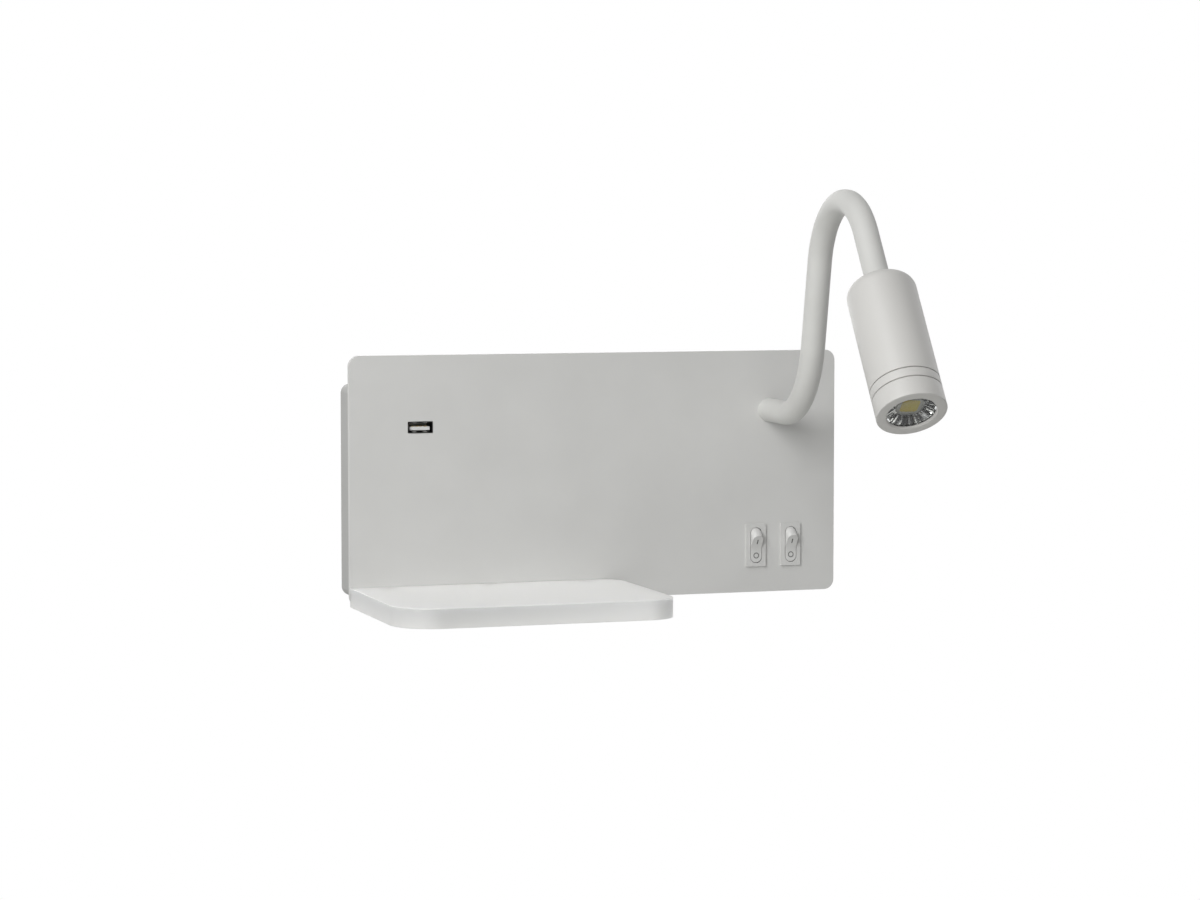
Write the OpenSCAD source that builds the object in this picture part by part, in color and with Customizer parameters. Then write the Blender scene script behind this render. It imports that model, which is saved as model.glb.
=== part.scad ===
// Wall lamp with a flexible reading arm, a small shelf, a USB socket and two rocker switches.
// The wall is the plane y = 0, the lamp stands out of it towards -Y, +X is to the viewer's right
// and +Z is up. The origin is on the wall, behind the middle of the front plate.

/* [Front plate] */
// Width of the front plate
plate_w = 270; // [250:1:330]
// Height of the front plate
plate_h = 130; // [120:1:160]
// Thickness of the front plate
plate_t = 3; // [2:0.5:4]
// Corner radius of the front plate
plate_r = 5.5; // [1:0.5:12]

/* [Housing] */
// Depth of the housing, from the wall to the back of the front plate
housing_d = 35; // [32:1:50]
// Set-back of the housing from the left and right edges of the plate
housing_side = 5; // [3:0.5:10]
// Set-back of the housing below the top edge of the plate
housing_top = 16; // [12:1:24]
// Set-back of the housing above the bottom edge of the plate
housing_bottom = 2; // [1.5:0.5:3]
// Sheet thickness of the housing
housing_wall = 1.5; // [1:0.1:1.8]
// Width of the flange that the front plate is bolted to
flange_w = 8; // [7:0.5:10]
// Thickness of the sheet that is screwed to the wall
back_t = 1.5; // [1:0.1:2]
// Distance between the two slots for the wall screws
slot_spacing = 180; // [120:5:190]
// Width of a wall screw slot
slot_w = 5; // [4:0.5:6]
// Length of a wall screw slot
slot_l = 12; // [8:1:20]

/* [Shelf] */
// Width of the shelf
shelf_w = 146; // [110:1:150]
// Depth of the shelf, out from the front plate
shelf_d = 101; // [80:1:130]
// Thickness of the shelf
shelf_t = 10; // [9:0.5:14]
// Radius of the front corner at the lamp's edge
shelf_r_outer = 22; // [5:1:30]
// Radius of the front corner under the plate
shelf_r_inner = 17; // [5:1:30]
// Radius of the back corner under the plate
shelf_r_back = 12; // [4:1:20]

/* [USB socket] */
// Distance from the plate's left edge to the socket's centre
usb_left = 38; // [32:1:70]
// Distance from the plate's top edge to the socket's centre
usb_down = 37.5; // [30:0.5:60]
// Outside width of the socket's shell
usb_w = 13.1; // [12.9:0.1:13.3]
// Outside height of the socket's shell
usb_h = 5.7; // [5.5:0.1:5.9]

/* [Switches] */
// Distance from the plate's right edge to the nearer switch
switch_right = 25.5; // [24:0.5:30]
// Distance between the two switches
switch_pitch = 20; // [14:0.5:24]
// Distance from the plate's bottom edge to the switches
switch_up = 25.3; // [24:0.1:36]
// Width of a switch's bezel
bezel_w = 11.3; // [11:0.1:13]
// Height of a switch's bezel
bezel_h = 23; // [21.5:0.1:25]
// Width of a rocker
rocker_w = 6; // [5.5:0.1:7.2]
// Angle that a rocker travels between off and on
rocker_travel = 32; // [20:1:34]

/* [Arm] */
// Distance from the plate's right edge to the arm
arm_right = 38; // [30:0.5:45]
// Distance from the plate's top edge to the arm
arm_down = 32; // [28:0.5:45]
// Outside diameter of the flexible tube
tube_d = 12.5; // [12:0.1:14]
// Bore of the flexible tube
tube_bore = 6; // [5.4:0.1:6.4]
// Straight length of the arm in front of the plate
arm_out = 26.5; // [24:0.5:40]
// Bend radius where the arm turns up
rise_r = 47; // [42:1:60]
// Angle that the arm turns up by
rise_angle = 77; // [70:1:85]
// Straight length of the rising part
rise_l = 44.5; // [35:0.5:60]
// Radius of the arch at the top
arch_r = 40; // [38:1:50]
// Angle below level at which the head hangs
head_angle = 52; // [45:1:60]
// Straight length between the arch and the head
drop_l = 32; // [20:0.5:40]
// Angle that the arm is swung to the right, as it stands
arm_swing = -3.8; // [-10:0.1:10]

/* [Head] */
// Diameter of the head
head_d = 34.4; // [34:0.1:42]
// Length of the head
head_l = 76; // [72:1:110]
// Radius of the head's rounded back edge
head_r = 9; // [5:0.5:10]
// Length of the bezel that holds the lens
head_bezel_l = 10; // [9:0.5:16]
// Length of the band behind the bezel
head_band_l = 4.6; // [3.5:0.1:8]
// Diameter of the opening in front of the lens
aperture_d = 24; // [20:0.5:26]

/* [Hidden] */
$fn = 72;
cut = 1; // how far a cutter runs past what it cuts
fit_gap = 0.05; // radial play of a pin or a thread in its hole
screw_gap = 0.2; // radial play of a screw in a plain hole
move_gap = 0.3; // play between parts that slide past each other

// Screws, as radii, heights and widths across flats
m3_r = 1.45;
m3_nut = 5.5;
m3_nut_h = 2.4;
pan_r = 2.75;
pan_h = 1.8;
shelf_head_r = 2.6;
shelf_head_h = 1.5;

// Planes across the lamp
plate_back = -housing_d;
face = plate_back - plate_t;
flange_t = housing_wall;
flange_back = plate_back + flange_t;

// The housing's outside, and the space inside its walls
box_x = plate_w / 2 - housing_side;
box_low = -plate_h / 2 + housing_bottom;
box_high = plate_h / 2 - housing_top;
box_mid = (box_low + box_high) / 2;
box_h = box_high - box_low;
box_r = 5;
inner_r = box_r - housing_wall;
in_x = box_x - housing_wall;
in_low = box_low + housing_wall;
in_high = box_high - housing_wall;

// The sheet on the wall, its ears and the screws through the housing into them
back_gap = 0.5;
back_x = in_x - back_gap;
back_low = in_low + back_gap;
back_high = in_high - back_gap;
ear_x = box_x - 30;
ear_w = 14;
ear_out = 11;
ear_screw_y = -6;
ear_screw_l = 6;

// Mains side: cable inlet, terminals and earth screw
inlet_x = -45;
inlet_z = 12;
inlet_r = 3.5;
grommet_r = 6;
grommet_lip = 1.5;
grommet_lip_t = 1;
terminal = [30, 16, 17];
terminal_x = -40;
terminal_z = -12;
terminal_poles = 3;
terminal_pitch = 9;
terminal_screw_r = 1.8;
terminal_screw_sunk = 2;
terminal_poles_x = [
    for (i = [0 : terminal_poles - 1])
        terminal_x + (i - (terminal_poles - 1) / 2) * terminal_pitch
];
earth_x = -72;
earth_z = -22;
earth_r = 1.95;
earth_l = 6;

// Driver box
driver = [74, 18, 30];
driver_x = 14;
driver_z = box_low + 28;
driver_ear = 8;
driver_ear_t = 2;

// Studs and nuts that hold the front plate to the flange
stud_l = 8;
stud_x = in_x - flange_w / 2;
stud_low = in_low + flange_w / 2;
stud_high = in_high - flange_w / 2;
stud_from_shelf = 12;
stud_places = concat(
    [for (x = [-stud_x, stud_x], z = [stud_low, stud_high]) [x, z]],
    [[0, stud_high], [-plate_w / 2 + shelf_w + stud_from_shelf, stud_low]]
);

// Shelf and its fixings
shelf_x0 = -plate_w / 2;
shelf_z0 = -plate_h / 2;
shelf_screw_z = in_low + shelf_head_r + 0.1;
shelf_screw_end = 20;
shelf_screws_x = [
    shelf_x0 + shelf_screw_end,
    shelf_x0 + shelf_w / 2,
    shelf_x0 + shelf_w - shelf_screw_end
];
insert_r = 2.3;
insert_l = 9;

// Backlight on top of the housing
diffuser_x = box_x - 12;
diffuser_y = -20;
diffuser_d = 14;
diffuser_h = 7;
diffuser_wall = 1.5;
strip_w = 8;
strip_t = 0.6;
strip_end = 6;
strip_x = diffuser_x - diffuser_wall - strip_end;
strip_hole_r = 3;
led_size = [3.5, 2.8, 0.7];
led_count = 24;

// USB socket
usb_x = -plate_w / 2 + usb_left;
usb_z = plate_h / 2 - usb_down;
usb_l = 14;
usb_wall = 0.35;
usb_window_gap = 0.25;
usb_block_l = 3;
tongue_w = 10.8;
tongue_t = 1.9;
tongue_z = -0.6;
tongue_recess = 1.7;
contact_w = 1;
contact_t = 0.2;
contact_l = 8;
contacts_x = [-3.5, -1, 1, 3.5];
board = [26, 22, 1.6];
board_z = usb_z - usb_h / 2 - board[2];
carrier_w = 30;
carrier_h = 4;
carrier_d = 24;

// Switches
switch_z = -plate_h / 2 + switch_up;
switches_x = [
    plate_w / 2 - switch_right - switch_pitch,
    plate_w / 2 - switch_right
];
bezel_t = 1;
bezel_face = face - bezel_t;
body_w = bezel_w - 1.4;
body_h = bezel_h - 1.2;
body_wall = 0.45;
window_gap = 0.15;
switch_back = -18;
rocker_r = body_h / 2 - body_wall - move_gap;
rocker_rim = 0.45 * rocker_w;
pivot_in = 4.2;
pivot_y = bezel_face + pivot_in;
rocker_proud = 0.3;
rocker_tilt = rocker_travel / 2;
rocker_back = 2;
rocker_pin_r = 1.2;
rocker_pin_l = 0.7;
blade = [0.8, 8, 6];
blade_z = 5;

// The arm's way in its own plane, as [distance out of the plate, height above the root]
arm_x = plate_w / 2 - arm_right;
arm_z = plate_h / 2 - arm_down;
tube_r = tube_d / 2;
rise_start = arm_out;
rise_end = rise_start + rise_r * rise_angle * PI / 180;
arch_start = rise_end + rise_l;
arch_turn = rise_angle + head_angle;
arch_end = arch_start + arch_r * arch_turn * PI / 180;
arm_l = arch_end + drop_l;
p_rise = [rise_start, 0];
p_riser = p_rise + rise_r * [sin(rise_angle), 1 - cos(rise_angle)];
p_arch = p_riser + rise_l * [cos(rise_angle), sin(rise_angle)];
arch_centre = p_arch + arch_r * [sin(rise_angle), -cos(rise_angle)];
p_drop = arch_centre + arch_r * [sin(head_angle), cos(head_angle)];

// Heading of the arm, up from level, at a distance s along it
function heading(s) =
    s < rise_start ? 0
    : s < rise_end ? (s - rise_start) / rise_r * 180 / PI
    : s < arch_start ? rise_angle
    : s < arch_end ? rise_angle - (s - arch_start) / arch_r * 180 / PI
    : -head_angle;

// Point of the arm at a distance s along it
function arm_point(s) =
    s < rise_start ? [s, 0]
    : s < rise_end ? p_rise + rise_r * [sin(heading(s)), 1 - cos(heading(s))]
    : s < arch_start ? p_riser + (s - rise_end) * [cos(rise_angle), sin(rise_angle)]
    : s < arch_end ? arch_centre + arch_r * [-sin(heading(s)), cos(heading(s))]
    : p_drop + (s - arch_end) * [cos(head_angle), -sin(head_angle)];

// The flexible tube as short stretches, each with a ball at its far end in the next one's cup
link_count = 18;
root_l = 8;
end_l = tube_r - 0.25;
pitch = (arm_l - end_l - root_l) / link_count;
pivots = [for (i = [0 : link_count]) arm_point(root_l + i * pitch)];
cup_r = tube_r + move_gap;
rim_wall = 0.4;
rim = sqrt(pow(cup_r, 2) - pow(tube_r - rim_wall, 2));
flare_r = 5;
bore_r = tube_bore / 2;

// Gland that holds the arm in the plate
shank_r = 5;
shank_l = 11;
gland_nut_w = 14;
gland_nut_h = 5;
washer_r = 8.5;
washer_t = 1;
washer_space = 0.5;

// Head, along its own axis from its back at 0
head_or = head_d / 2;
groove = 0.6;
groove_depth = 0.9;
bezel_z = head_l - head_bezel_l;
band_z = bezel_z - groove - head_band_l;
body_l = band_z - groove;
head_wall = 2.2;
head_ir = head_or - head_wall;
head_back_t = 3.5;
neck_r = 4;
neck_l = 13;
neck_nut_w = 13;
neck_nut_h = 3.5;
spigot_or = head_or - groove_depth;
spigot_ir = head_ir - 0.6;
spigot_l = 3;
sink_l = 15;
sink_z = body_l - spigot_l - 2.2 - sink_l;
sink_r = head_ir - fit_gap;
lip_t = 1.2;
lip_bevel = 0.6;
lens_t = 1.2;
lens_r = 14;
lens_z = head_l - lip_t - lens_t;
lens_cone_l = 5.3;
lens_cone_front_r = 12.2;
lens_cone_back_r = 7;
gasket_t = 0.8;
reflector_wall = 0.8;
reflector_front_r = 13.2;
reflector_back_r = 8.3;
reflector_z = lens_z - lens_cone_l;
cob = [12, 12, 0.9];
light_gap = 0.3;
cob_z = reflector_z - light_gap - cob[2];
cob_board_t = 1.6;
cob_board_r = 10;
sink_boss_r = cob_board_r + 0.5;
sink_front = cob_z - cob_board_t;

// Lead from the driver through the arm to the light source, as [x, y, z] up to the gland
lead_d = 3.6;
lead_sides = 10;
lead_start = [driver_x + driver[0] / 2, -11, driver_z];
lead_bends = [
    lead_start,
    lead_start + [8, 0, 0],
    [driver_x + driver[0] / 2 + 20, -10, driver_z + 6],
    [arm_x - 9, -8, driver_z + 20],
    [arm_x - 4, -7, arm_z - 26],
    [arm_x - 1.5, -7, arm_z - 14],
    [arm_x - 0.5, -9, arm_z - 6],
    [arm_x, -13, arm_z - 1],
    [arm_x, -19, arm_z]
];
lead_step = 5;
lead_in_head = sink_front;
lead_l = arm_l + lead_in_head;
lead_rings = floor(lead_l / lead_step);
lead_points = concat(
    lead_bends,
    [for (i = [0 : lead_rings]) along_arm(i * lead_l / lead_rings)]
);

// Name of one stretch of the flexible tube
function link_name(i) = str("arm_link_", i < 10 ? "0" : "", i);

// A point of the arm's own plane, in the lamp's frame
function in_lamp(p) =
    p[0] <= root_l
    ? [arm_x, face - p[0], arm_z + p[1]]
    : [
        arm_x + (p[0] - root_l) * sin(arm_swing),
        face - root_l - (p[0] - root_l) * cos(arm_swing),
        arm_z + p[1]
    ];

// A point of the lead at a distance s from the plate's face, through the arm and into the head
function along_arm(s) =
    in_lamp(
        s <= arm_l
        ? arm_point(s)
        : arm_point(arm_l) + (s - arm_l) * [cos(head_angle), -sin(head_angle)]
    );

function unit(v) = v / norm(v);

// Direction of a chain of points at its point i
function chain_dir(points, i) =
    unit(points[min(i + 1, len(points) - 1)] - points[max(i - 1, 0)]);

// Pairs of directions across a chain of points, carried along it from its point i without twist
function chain_frames(points, side, i = 0) =
    i == len(points)
    ? []
    : let (
        along = chain_dir(points, i),
        across = unit(side - (side * along) * along)
    )
    concat([[across, cross(along, across)]], chain_frames(points, across, i + 1));

// A box given by its limits along each axis
module limits(x, y, z) {
    translate([x[0], y[0], z[0]])
        cube([x[1] - x[0], y[1] - y[0], z[1] - z[0]]);
}

// A rectangle with round corners, about its middle
module round_rect(w, h, r) {
    square([w - 2 * r, h], center = true);
    square([w, h - 2 * r], center = true);
    for (x = [-1, 1], y = [-1, 1])
        translate([x * (w / 2 - r), y * (h / 2 - r)]) circle(r);
}

// Extrudes an outline drawn in x and z along the lamp's depth, from y0 to y1
module through(y0, y1) {
    translate([0, y1, 0])
        rotate([90, 0, 0])
            linear_extrude(y1 - y0) children();
}

// A round bar or hole along the lamp's depth
module bar_y(x, z, y0, y1, r) {
    translate([x, y1, z])
        rotate([90, 0, 0])
            cylinder(h = y1 - y0, r = r);
}

// A hexagon nut without its hole, along the lamp's depth
module hex_y(x, z, y0, y1, w) {
    translate([x, y1, z])
        rotate([90, 0, 0])
            cylinder(h = y1 - y0, r = w / sqrt(3), $fn = 6);
}

// The part of a corner that rounding takes off, with the corner at the origin
module corner_waste(r) {
    difference() {
        translate([-cut, -cut]) square(r + cut);
        translate([r, r]) circle(r);
    }
}

// Puts its children in the arm's plane, with the arm's first pivot at the origin
module arm_plane() {
    translate([arm_x, face - root_l, arm_z])
        rotate([0, 0, arm_swing]) children();
}

// Puts its children at a pivot, with +Z along the heading a
module at_arm(p, a) {
    arm_plane()
        translate([0, root_l - p[0], p[1]])
            rotate([90 - a, 0, 0]) children();
}

// Puts its children in the head's frame, with the lens towards +Z
module at_head() {
    at_arm(arm_point(arm_l), -head_angle) children();
}

// The space that the bore needs at a ball end, which lets the lead bend
module bore_flare() {
    cylinder(h = tube_r, r1 = bore_r, r2 = flare_r);
}

// A solid of rotation between two heights
module ring(z0, z1, r_out, r_in) {
    translate([0, 0, z0])
        difference() {
            cylinder(h = z1 - z0, r = r_out);
            translate([0, 0, -cut]) cylinder(h = z1 - z0 + 2 * cut, r = r_in);
        }
}

// Sheet that is screwed to the wall, with ears for the housing's screws
module back_plate() {
    color("silver")
        difference() {
            union() {
                translate([0, 0, (back_low + back_high) / 2])
                    through(-back_t, 0)
                        round_rect(2 * back_x, back_high - back_low, 3);
                for (x = [-ear_x, ear_x]) {
                    limits(
                        [x - ear_w / 2, x + ear_w / 2],
                        [-ear_out, 0],
                        [back_low, back_low + back_t]
                    );
                    limits(
                        [x - ear_w / 2, x + ear_w / 2],
                        [-ear_out, 0],
                        [back_high - back_t, back_high]
                    );
                }
            }
            for (x = [-1, 1])
                translate([x * slot_spacing / 2, 0, 0])
                    through(-back_t - cut, cut) {
                        square([slot_l - slot_w, slot_w], center = true);
                        for (end = [-1, 1])
                            translate([end * (slot_l - slot_w) / 2, 0])
                                circle(slot_w / 2);
                    }
            bar_y(inlet_x, inlet_z, -back_t - cut, cut, grommet_r);
            bar_y(earth_x, earth_z, -back_t - cut, cut, earth_r + fit_gap);
            for (x = [-ear_x, ear_x])
                translate([x, ear_screw_y, back_low - cut])
                    cylinder(h = back_high - back_low + 2 * cut, r = m3_r + fit_gap);
        }
}

// Rubber grommet in the cable inlet
module cable_grommet() {
    color("dimgray")
        translate([inlet_x, 0, inlet_z])
            rotate([90, 0, 0])
                rotate_extrude() {
                    translate([inlet_r, 0])
                        square([grommet_r - inlet_r, back_t + grommet_lip_t]);
                    translate([inlet_r, back_t])
                        square([grommet_r - inlet_r + grommet_lip, grommet_lip_t]);
                }
}

// Mains terminal block on the back sheet
module terminal_block() {
    color("ivory")
        difference() {
            limits(
                [terminal_x - terminal[0] / 2, terminal_x + terminal[0] / 2],
                [-back_t - terminal[1], -back_t],
                [terminal_z - terminal[2] / 2, terminal_z + terminal[2] / 2]
            );
            for (x = terminal_poles_x, end = [-1, 1])
                bar_y(
                    x,
                    terminal_z + end * terminal[2] / 4,
                    -back_t - terminal[1] - cut,
                    -back_t - terminal[1] / 3,
                    terminal_screw_r + screw_gap
                );
        }
}

// Clamp screws of the terminal block
module terminal_screws() {
    color("silver")
        for (x = terminal_poles_x, end = [-1, 1])
            bar_y(
                x,
                terminal_z + end * terminal[2] / 4,
                -back_t - terminal[1] + terminal_screw_sunk,
                -back_t - terminal[1] / 3,
                terminal_screw_r
            );
}

// Earth screw in the back sheet
module earth_screw() {
    color("gold") {
        bar_y(earth_x, earth_z, -back_t - earth_l, -earth_r / 4, earth_r);
        hex_y(earth_x, earth_z, -back_t - earth_l, -back_t, 7);
    }
}

// Four walls with a flange behind the front plate
module rear_housing() {
    color("darkgray")
        difference() {
            translate([0, 0, box_mid])
                through(plate_back, 0)
                    round_rect(2 * box_x, box_h, box_r);
            translate([0, 0, box_mid])
                through(flange_back, cut)
                    round_rect(2 * in_x, in_high - in_low, inner_r);
            translate([0, 0, box_mid])
                through(plate_back - cut, cut)
                    round_rect(
                        2 * (in_x - flange_w), in_high - in_low - 2 * flange_w, 2
                    );
            bar_y(
                arm_x, arm_z, plate_back - cut, flange_back + cut, washer_r + washer_space
            );
            for (p = stud_places)
                bar_y(p[0], p[1], plate_back - cut, flange_back + cut, m3_r + screw_gap);
            for (x = shelf_screws_x)
                bar_y(
                    x, shelf_screw_z, plate_back - cut, flange_back + cut,
                    m3_r + screw_gap
                );
            translate([strip_x, diffuser_y, box_high - 2 * housing_wall])
                cylinder(h = 3 * housing_wall, r = strip_hole_r);
            for (x = [-ear_x, ear_x])
                translate([x, ear_screw_y, box_low - cut])
                    cylinder(h = box_h + 2 * cut, r = m3_r + screw_gap);
        }
}

// Four screws through the housing's top and bottom walls into the ears
module housing_screws() {
    color("silver")
        for (x = [-ear_x, ear_x], up = [0, 1])
            translate([x, ear_screw_y, up == 1 ? box_high : box_low])
                mirror([0, 0, up]) {
                    cylinder(h = ear_screw_l, r = m3_r);
                    translate([0, 0, -pan_h]) cylinder(h = pan_h, r = pan_r);
                }
}

// Flat front plate with the openings for all that shows on it
module front_plate() {
    color("lightgray")
        difference() {
            through(face, plate_back) round_rect(plate_w, plate_h, plate_r);
            translate([usb_x, 0, usb_z])
                through(face - cut, plate_back + cut)
                    round_rect(
                        usb_w + 2 * usb_window_gap, usb_h + 2 * usb_window_gap, 0.6
                    );
            for (x = switches_x)
                translate([x, 0, switch_z])
                    through(face - cut, plate_back + cut)
                        square(
                            [body_w + 2 * window_gap, body_h + 2 * window_gap],
                            center = true
                        );
            bar_y(arm_x, arm_z, face - cut, plate_back + cut, shank_r + screw_gap);
            for (x = shelf_screws_x)
                bar_y(x, shelf_screw_z, face - cut, plate_back + cut, m3_r + screw_gap);
        }
}

// Studs welded to the back of the front plate
module plate_studs() {
    color("silver")
        for (p = stud_places)
            bar_y(p[0], p[1], plate_back, plate_back + stud_l, m3_r);
}

// Nuts on the studs
module plate_nuts() {
    color("silver")
        for (p = stud_places)
            difference() {
                hex_y(p[0], p[1], flange_back, flange_back + m3_nut_h, m3_nut);
                bar_y(p[0], p[1], flange_back - cut, flange_back + m3_nut_h + cut, m3_r + fit_gap);
            }
}

// Frosted slab with three round corners, flush with the plate's left and bottom edges
module shelf() {
    color("white")
        difference() {
            translate([0, 0, shelf_z0])
                linear_extrude(shelf_t)
                    difference() {
                        translate([shelf_x0, face - shelf_d]) square([shelf_w, shelf_d]);
                        translate([shelf_x0, face - shelf_d])
                            corner_waste(shelf_r_outer);
                        translate([shelf_x0 + shelf_w, face - shelf_d])
                            mirror([1, 0]) corner_waste(shelf_r_inner);
                        translate([shelf_x0 + shelf_w, face])
                            mirror([1, 0]) mirror([0, 1]) corner_waste(shelf_r_back);
                    }
            for (x = shelf_screws_x)
                bar_y(x, shelf_screw_z, face - insert_l, face + cut, insert_r + fit_gap);
        }
}

// Threaded inserts in the back edge of the shelf
module shelf_inserts() {
    color("goldenrod")
        for (x = shelf_screws_x)
            difference() {
                bar_y(x, shelf_screw_z, face - insert_l, face, insert_r);
                bar_y(x, shelf_screw_z, face - insert_l + 1, face + cut, m3_r + fit_gap);
            }
}

// Screws from inside the housing into the shelf
module shelf_screws() {
    color("silver")
        for (x = shelf_screws_x) {
            bar_y(x, shelf_screw_z, face - insert_l + 2, flange_back, m3_r);
            bar_y(
                x, shelf_screw_z, flange_back, flange_back + shelf_head_h, shelf_head_r
            );
        }
}

// Strip of small lamps along the top of the housing
module led_strip() {
    led_pitch = (2 * strip_x - strip_end) / led_count;
    color("khaki") {
        limits(
            [-strip_x, strip_x],
            [diffuser_y - strip_w / 2, diffuser_y + strip_w / 2],
            [box_high, box_high + strip_t]
        );
        for (i = [0 : led_count - 1])
            translate([(i - (led_count - 1) / 2) * led_pitch, diffuser_y, box_high])
                translate([-led_size[0] / 2, -led_size[1] / 2, 0])
                    cube([led_size[0], led_size[1], strip_t + led_size[2]]);
    }
}

// Opal cover over the strip
module light_diffuser() {
    color("whitesmoke")
        difference() {
            limits(
                [-diffuser_x, diffuser_x],
                [diffuser_y - diffuser_d / 2, diffuser_y + diffuser_d / 2],
                [box_high, box_high + diffuser_h]
            );
            limits(
                [-diffuser_x + diffuser_wall, diffuser_x - diffuser_wall],
                [
                    diffuser_y - diffuser_d / 2 + diffuser_wall,
                    diffuser_y + diffuser_d / 2 - diffuser_wall
                ],
                [box_high - cut, box_high + diffuser_h - diffuser_wall]
            );
        }
}

// Driver box with a fixing ear at each end
module led_driver() {
    color("white")
        difference() {
            union() {
                limits(
                    [driver_x - driver[0] / 2, driver_x + driver[0] / 2],
                    [-back_t - driver[1], -back_t],
                    [driver_z - driver[2] / 2, driver_z + driver[2] / 2]
                );
                limits(
                    [driver_x - driver[0] / 2 - driver_ear, driver_x + driver[0] / 2 + driver_ear],
                    [-back_t - driver_ear_t, -back_t],
                    [driver_z - driver_ear, driver_z + driver_ear]
                );
            }
            for (side = [-1, 1])
                bar_y(
                    driver_x + side * (driver[0] + driver_ear) / 2, driver_z,
                    -back_t - driver_ear_t - cut, -back_t + cut, m3_r + screw_gap
                );
        }
}

// Screws of the driver box
module driver_screws() {
    color("silver")
        for (side = [-1, 1])
            translate([driver_x + side * (driver[0] + driver_ear) / 2, 0, driver_z]) {
                bar_y(0, 0, -back_t - driver_ear_t, -back_t, m3_r);
                bar_y(0, 0, -back_t - driver_ear_t - pan_h, -back_t - driver_ear_t, pan_r);
            }
}

// Metal shell of the USB socket
module usb_shell() {
    color("dimgray")
        translate([usb_x, 0, usb_z])
            through(face, face + usb_l)
                difference() {
                    round_rect(usb_w, usb_h, 0.6);
                    round_rect(usb_w - 2 * usb_wall, usb_h - 2 * usb_wall, 0.3);
                }
}

// Insulator of the USB socket: the block behind and the tongue
module usb_tongue() {
    color("white")
        translate([usb_x, 0, usb_z]) {
            through(face + usb_l - usb_block_l, face + usb_l)
                round_rect(usb_w - 2 * usb_wall, usb_h - 2 * usb_wall, 0.3);
            translate([0, 0, tongue_z])
                through(face + tongue_recess, face + usb_l - usb_block_l)
                    square([tongue_w, tongue_t], center = true);
        }
}

// Four contacts on top of the tongue
module usb_contacts() {
    color("gold")
        for (x = contacts_x)
            translate([usb_x + x, face + tongue_recess + 1, usb_z + tongue_z + tongue_t / 2])
                translate([-contact_w / 2, 0, 0]) cube([contact_w, contact_l, contact_t]);
}

// Circuit board under the socket, with its larger components
module usb_board() {
    color("green") {
        limits(
            [usb_x - board[0] / 2, usb_x + board[0] / 2],
            [plate_back, plate_back + board[1]],
            [board_z, board_z + board[2]]
        );
        translate([usb_x + board[0] / 4, plate_back + board[1] - 5, board_z])
            cylinder(h = board[2] + 5, r = 2.5);
        limits(
            [usb_x - board[0] / 2 + 2, usb_x - 1],
            [plate_back + board[1] - 8, plate_back + board[1] - 2],
            [board_z, board_z + board[2] + 3]
        );
    }
}

// Block on the back of the front plate that carries the circuit board
module usb_carrier() {
    color("gray")
        limits(
            [usb_x - carrier_w / 2, usb_x + carrier_w / 2],
            [plate_back, plate_back + carrier_d],
            [board_z - carrier_h, board_z]
        );
}

// Wheel with a rounded rim about the X axis, which a rocker is cut from
module rocker_wheel(gap) {
    r = rocker_r + gap;
    half = rocker_w / 2 + gap;
    rim_r = rocker_rim + gap;
    rotate([0, 90, 0])
        rotate_extrude() {
            translate([0, -half]) square([r - rim_r, 2 * half]);
            translate([0, -half + rim_r]) square([r, 2 * (half - rim_r)]);
            for (side = [-1, 1])
                translate([r - rim_r, side * (half - rim_r)]) circle(rim_r);
        }
}

// Switch bezel and body, about the rocker's pivot
module switch_body(x) {
    color("gainsboro")
        difference() {
            union() {
                translate([x, 0, switch_z]) {
                    through(bezel_face, face) round_rect(bezel_w, bezel_h, 0.4);
                    through(face, switch_back) square([body_w, body_h], center = true);
                }
            }
            translate([x, pivot_y, switch_z]) {
                rocker_wheel(move_gap);
                rotate([0, 90, 0])
                    cylinder(
                        h = rocker_w + 2 * (move_gap + rocker_pin_l),
                        r = rocker_pin_r + fit_gap,
                        center = true
                    );
            }
        }
}
module reading_switch_body() {
    switch_body(switches_x[0]);
}
module backlight_switch_body() {
    switch_body(switches_x[1]);
}

// Rocker as it stands at off, with its lower face pressed level with the bezel
module rocker(x) {
    face_out = pivot_in + rocker_proud;
    valley = face_out / cos(rocker_tilt);
    far = 2 * rocker_r;
    color("whitesmoke")
        translate([x, pivot_y, switch_z])
            rotate([rocker_tilt, 0, 0]) {
                difference() {
                    rocker_wheel(0);
                    limits([-far, far], [rocker_back, far], [-far, far]);
                    translate([-far, 0, 0])
                        rotate([90, 0, 90])
                            linear_extrude(2 * far)
                                polygon([
                                    [-valley, 0],
                                    [-valley - far * tan(rocker_tilt), far],
                                    [-2 * far, far],
                                    [-2 * far, -far],
                                    [-valley - far * tan(rocker_tilt), -far]
                                ]);
                }
                rotate([0, 90, 0])
                    cylinder(
                        h = rocker_w + 2 * (move_gap + rocker_pin_l - fit_gap),
                        r = rocker_pin_r,
                        center = true
                    );
            }
}
module reading_rocker() {
    rocker(switches_x[0]);
}
module backlight_rocker() {
    rocker(switches_x[1]);
}

// Blade terminals behind both switches
module switch_terminals() {
    color("goldenrod")
        for (x = switches_x, side = [-1, 1])
            translate([x - blade[0] / 2, switch_back, switch_z + side * blade_z - blade[2] / 2])
                cube(blade);
}

// Fixed first stretch of the tube, with the threaded shank that goes through the plate
module arm_root() {
    color("gainsboro")
        difference() {
            union() {
                bar_y(arm_x, arm_z, face - root_l, face, tube_r);
                bar_y(arm_x, arm_z, face - cut, face + shank_l + plate_t, shank_r);
                translate([arm_x, face - root_l, arm_z]) sphere(tube_r);
            }
            bar_y(arm_x, arm_z, face - 2 * root_l, face + shank_l + plate_t + cut, bore_r);
            translate([arm_x, face - root_l, arm_z])
                rotate([90, 0, 0]) bore_flare();
        }
}

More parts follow.
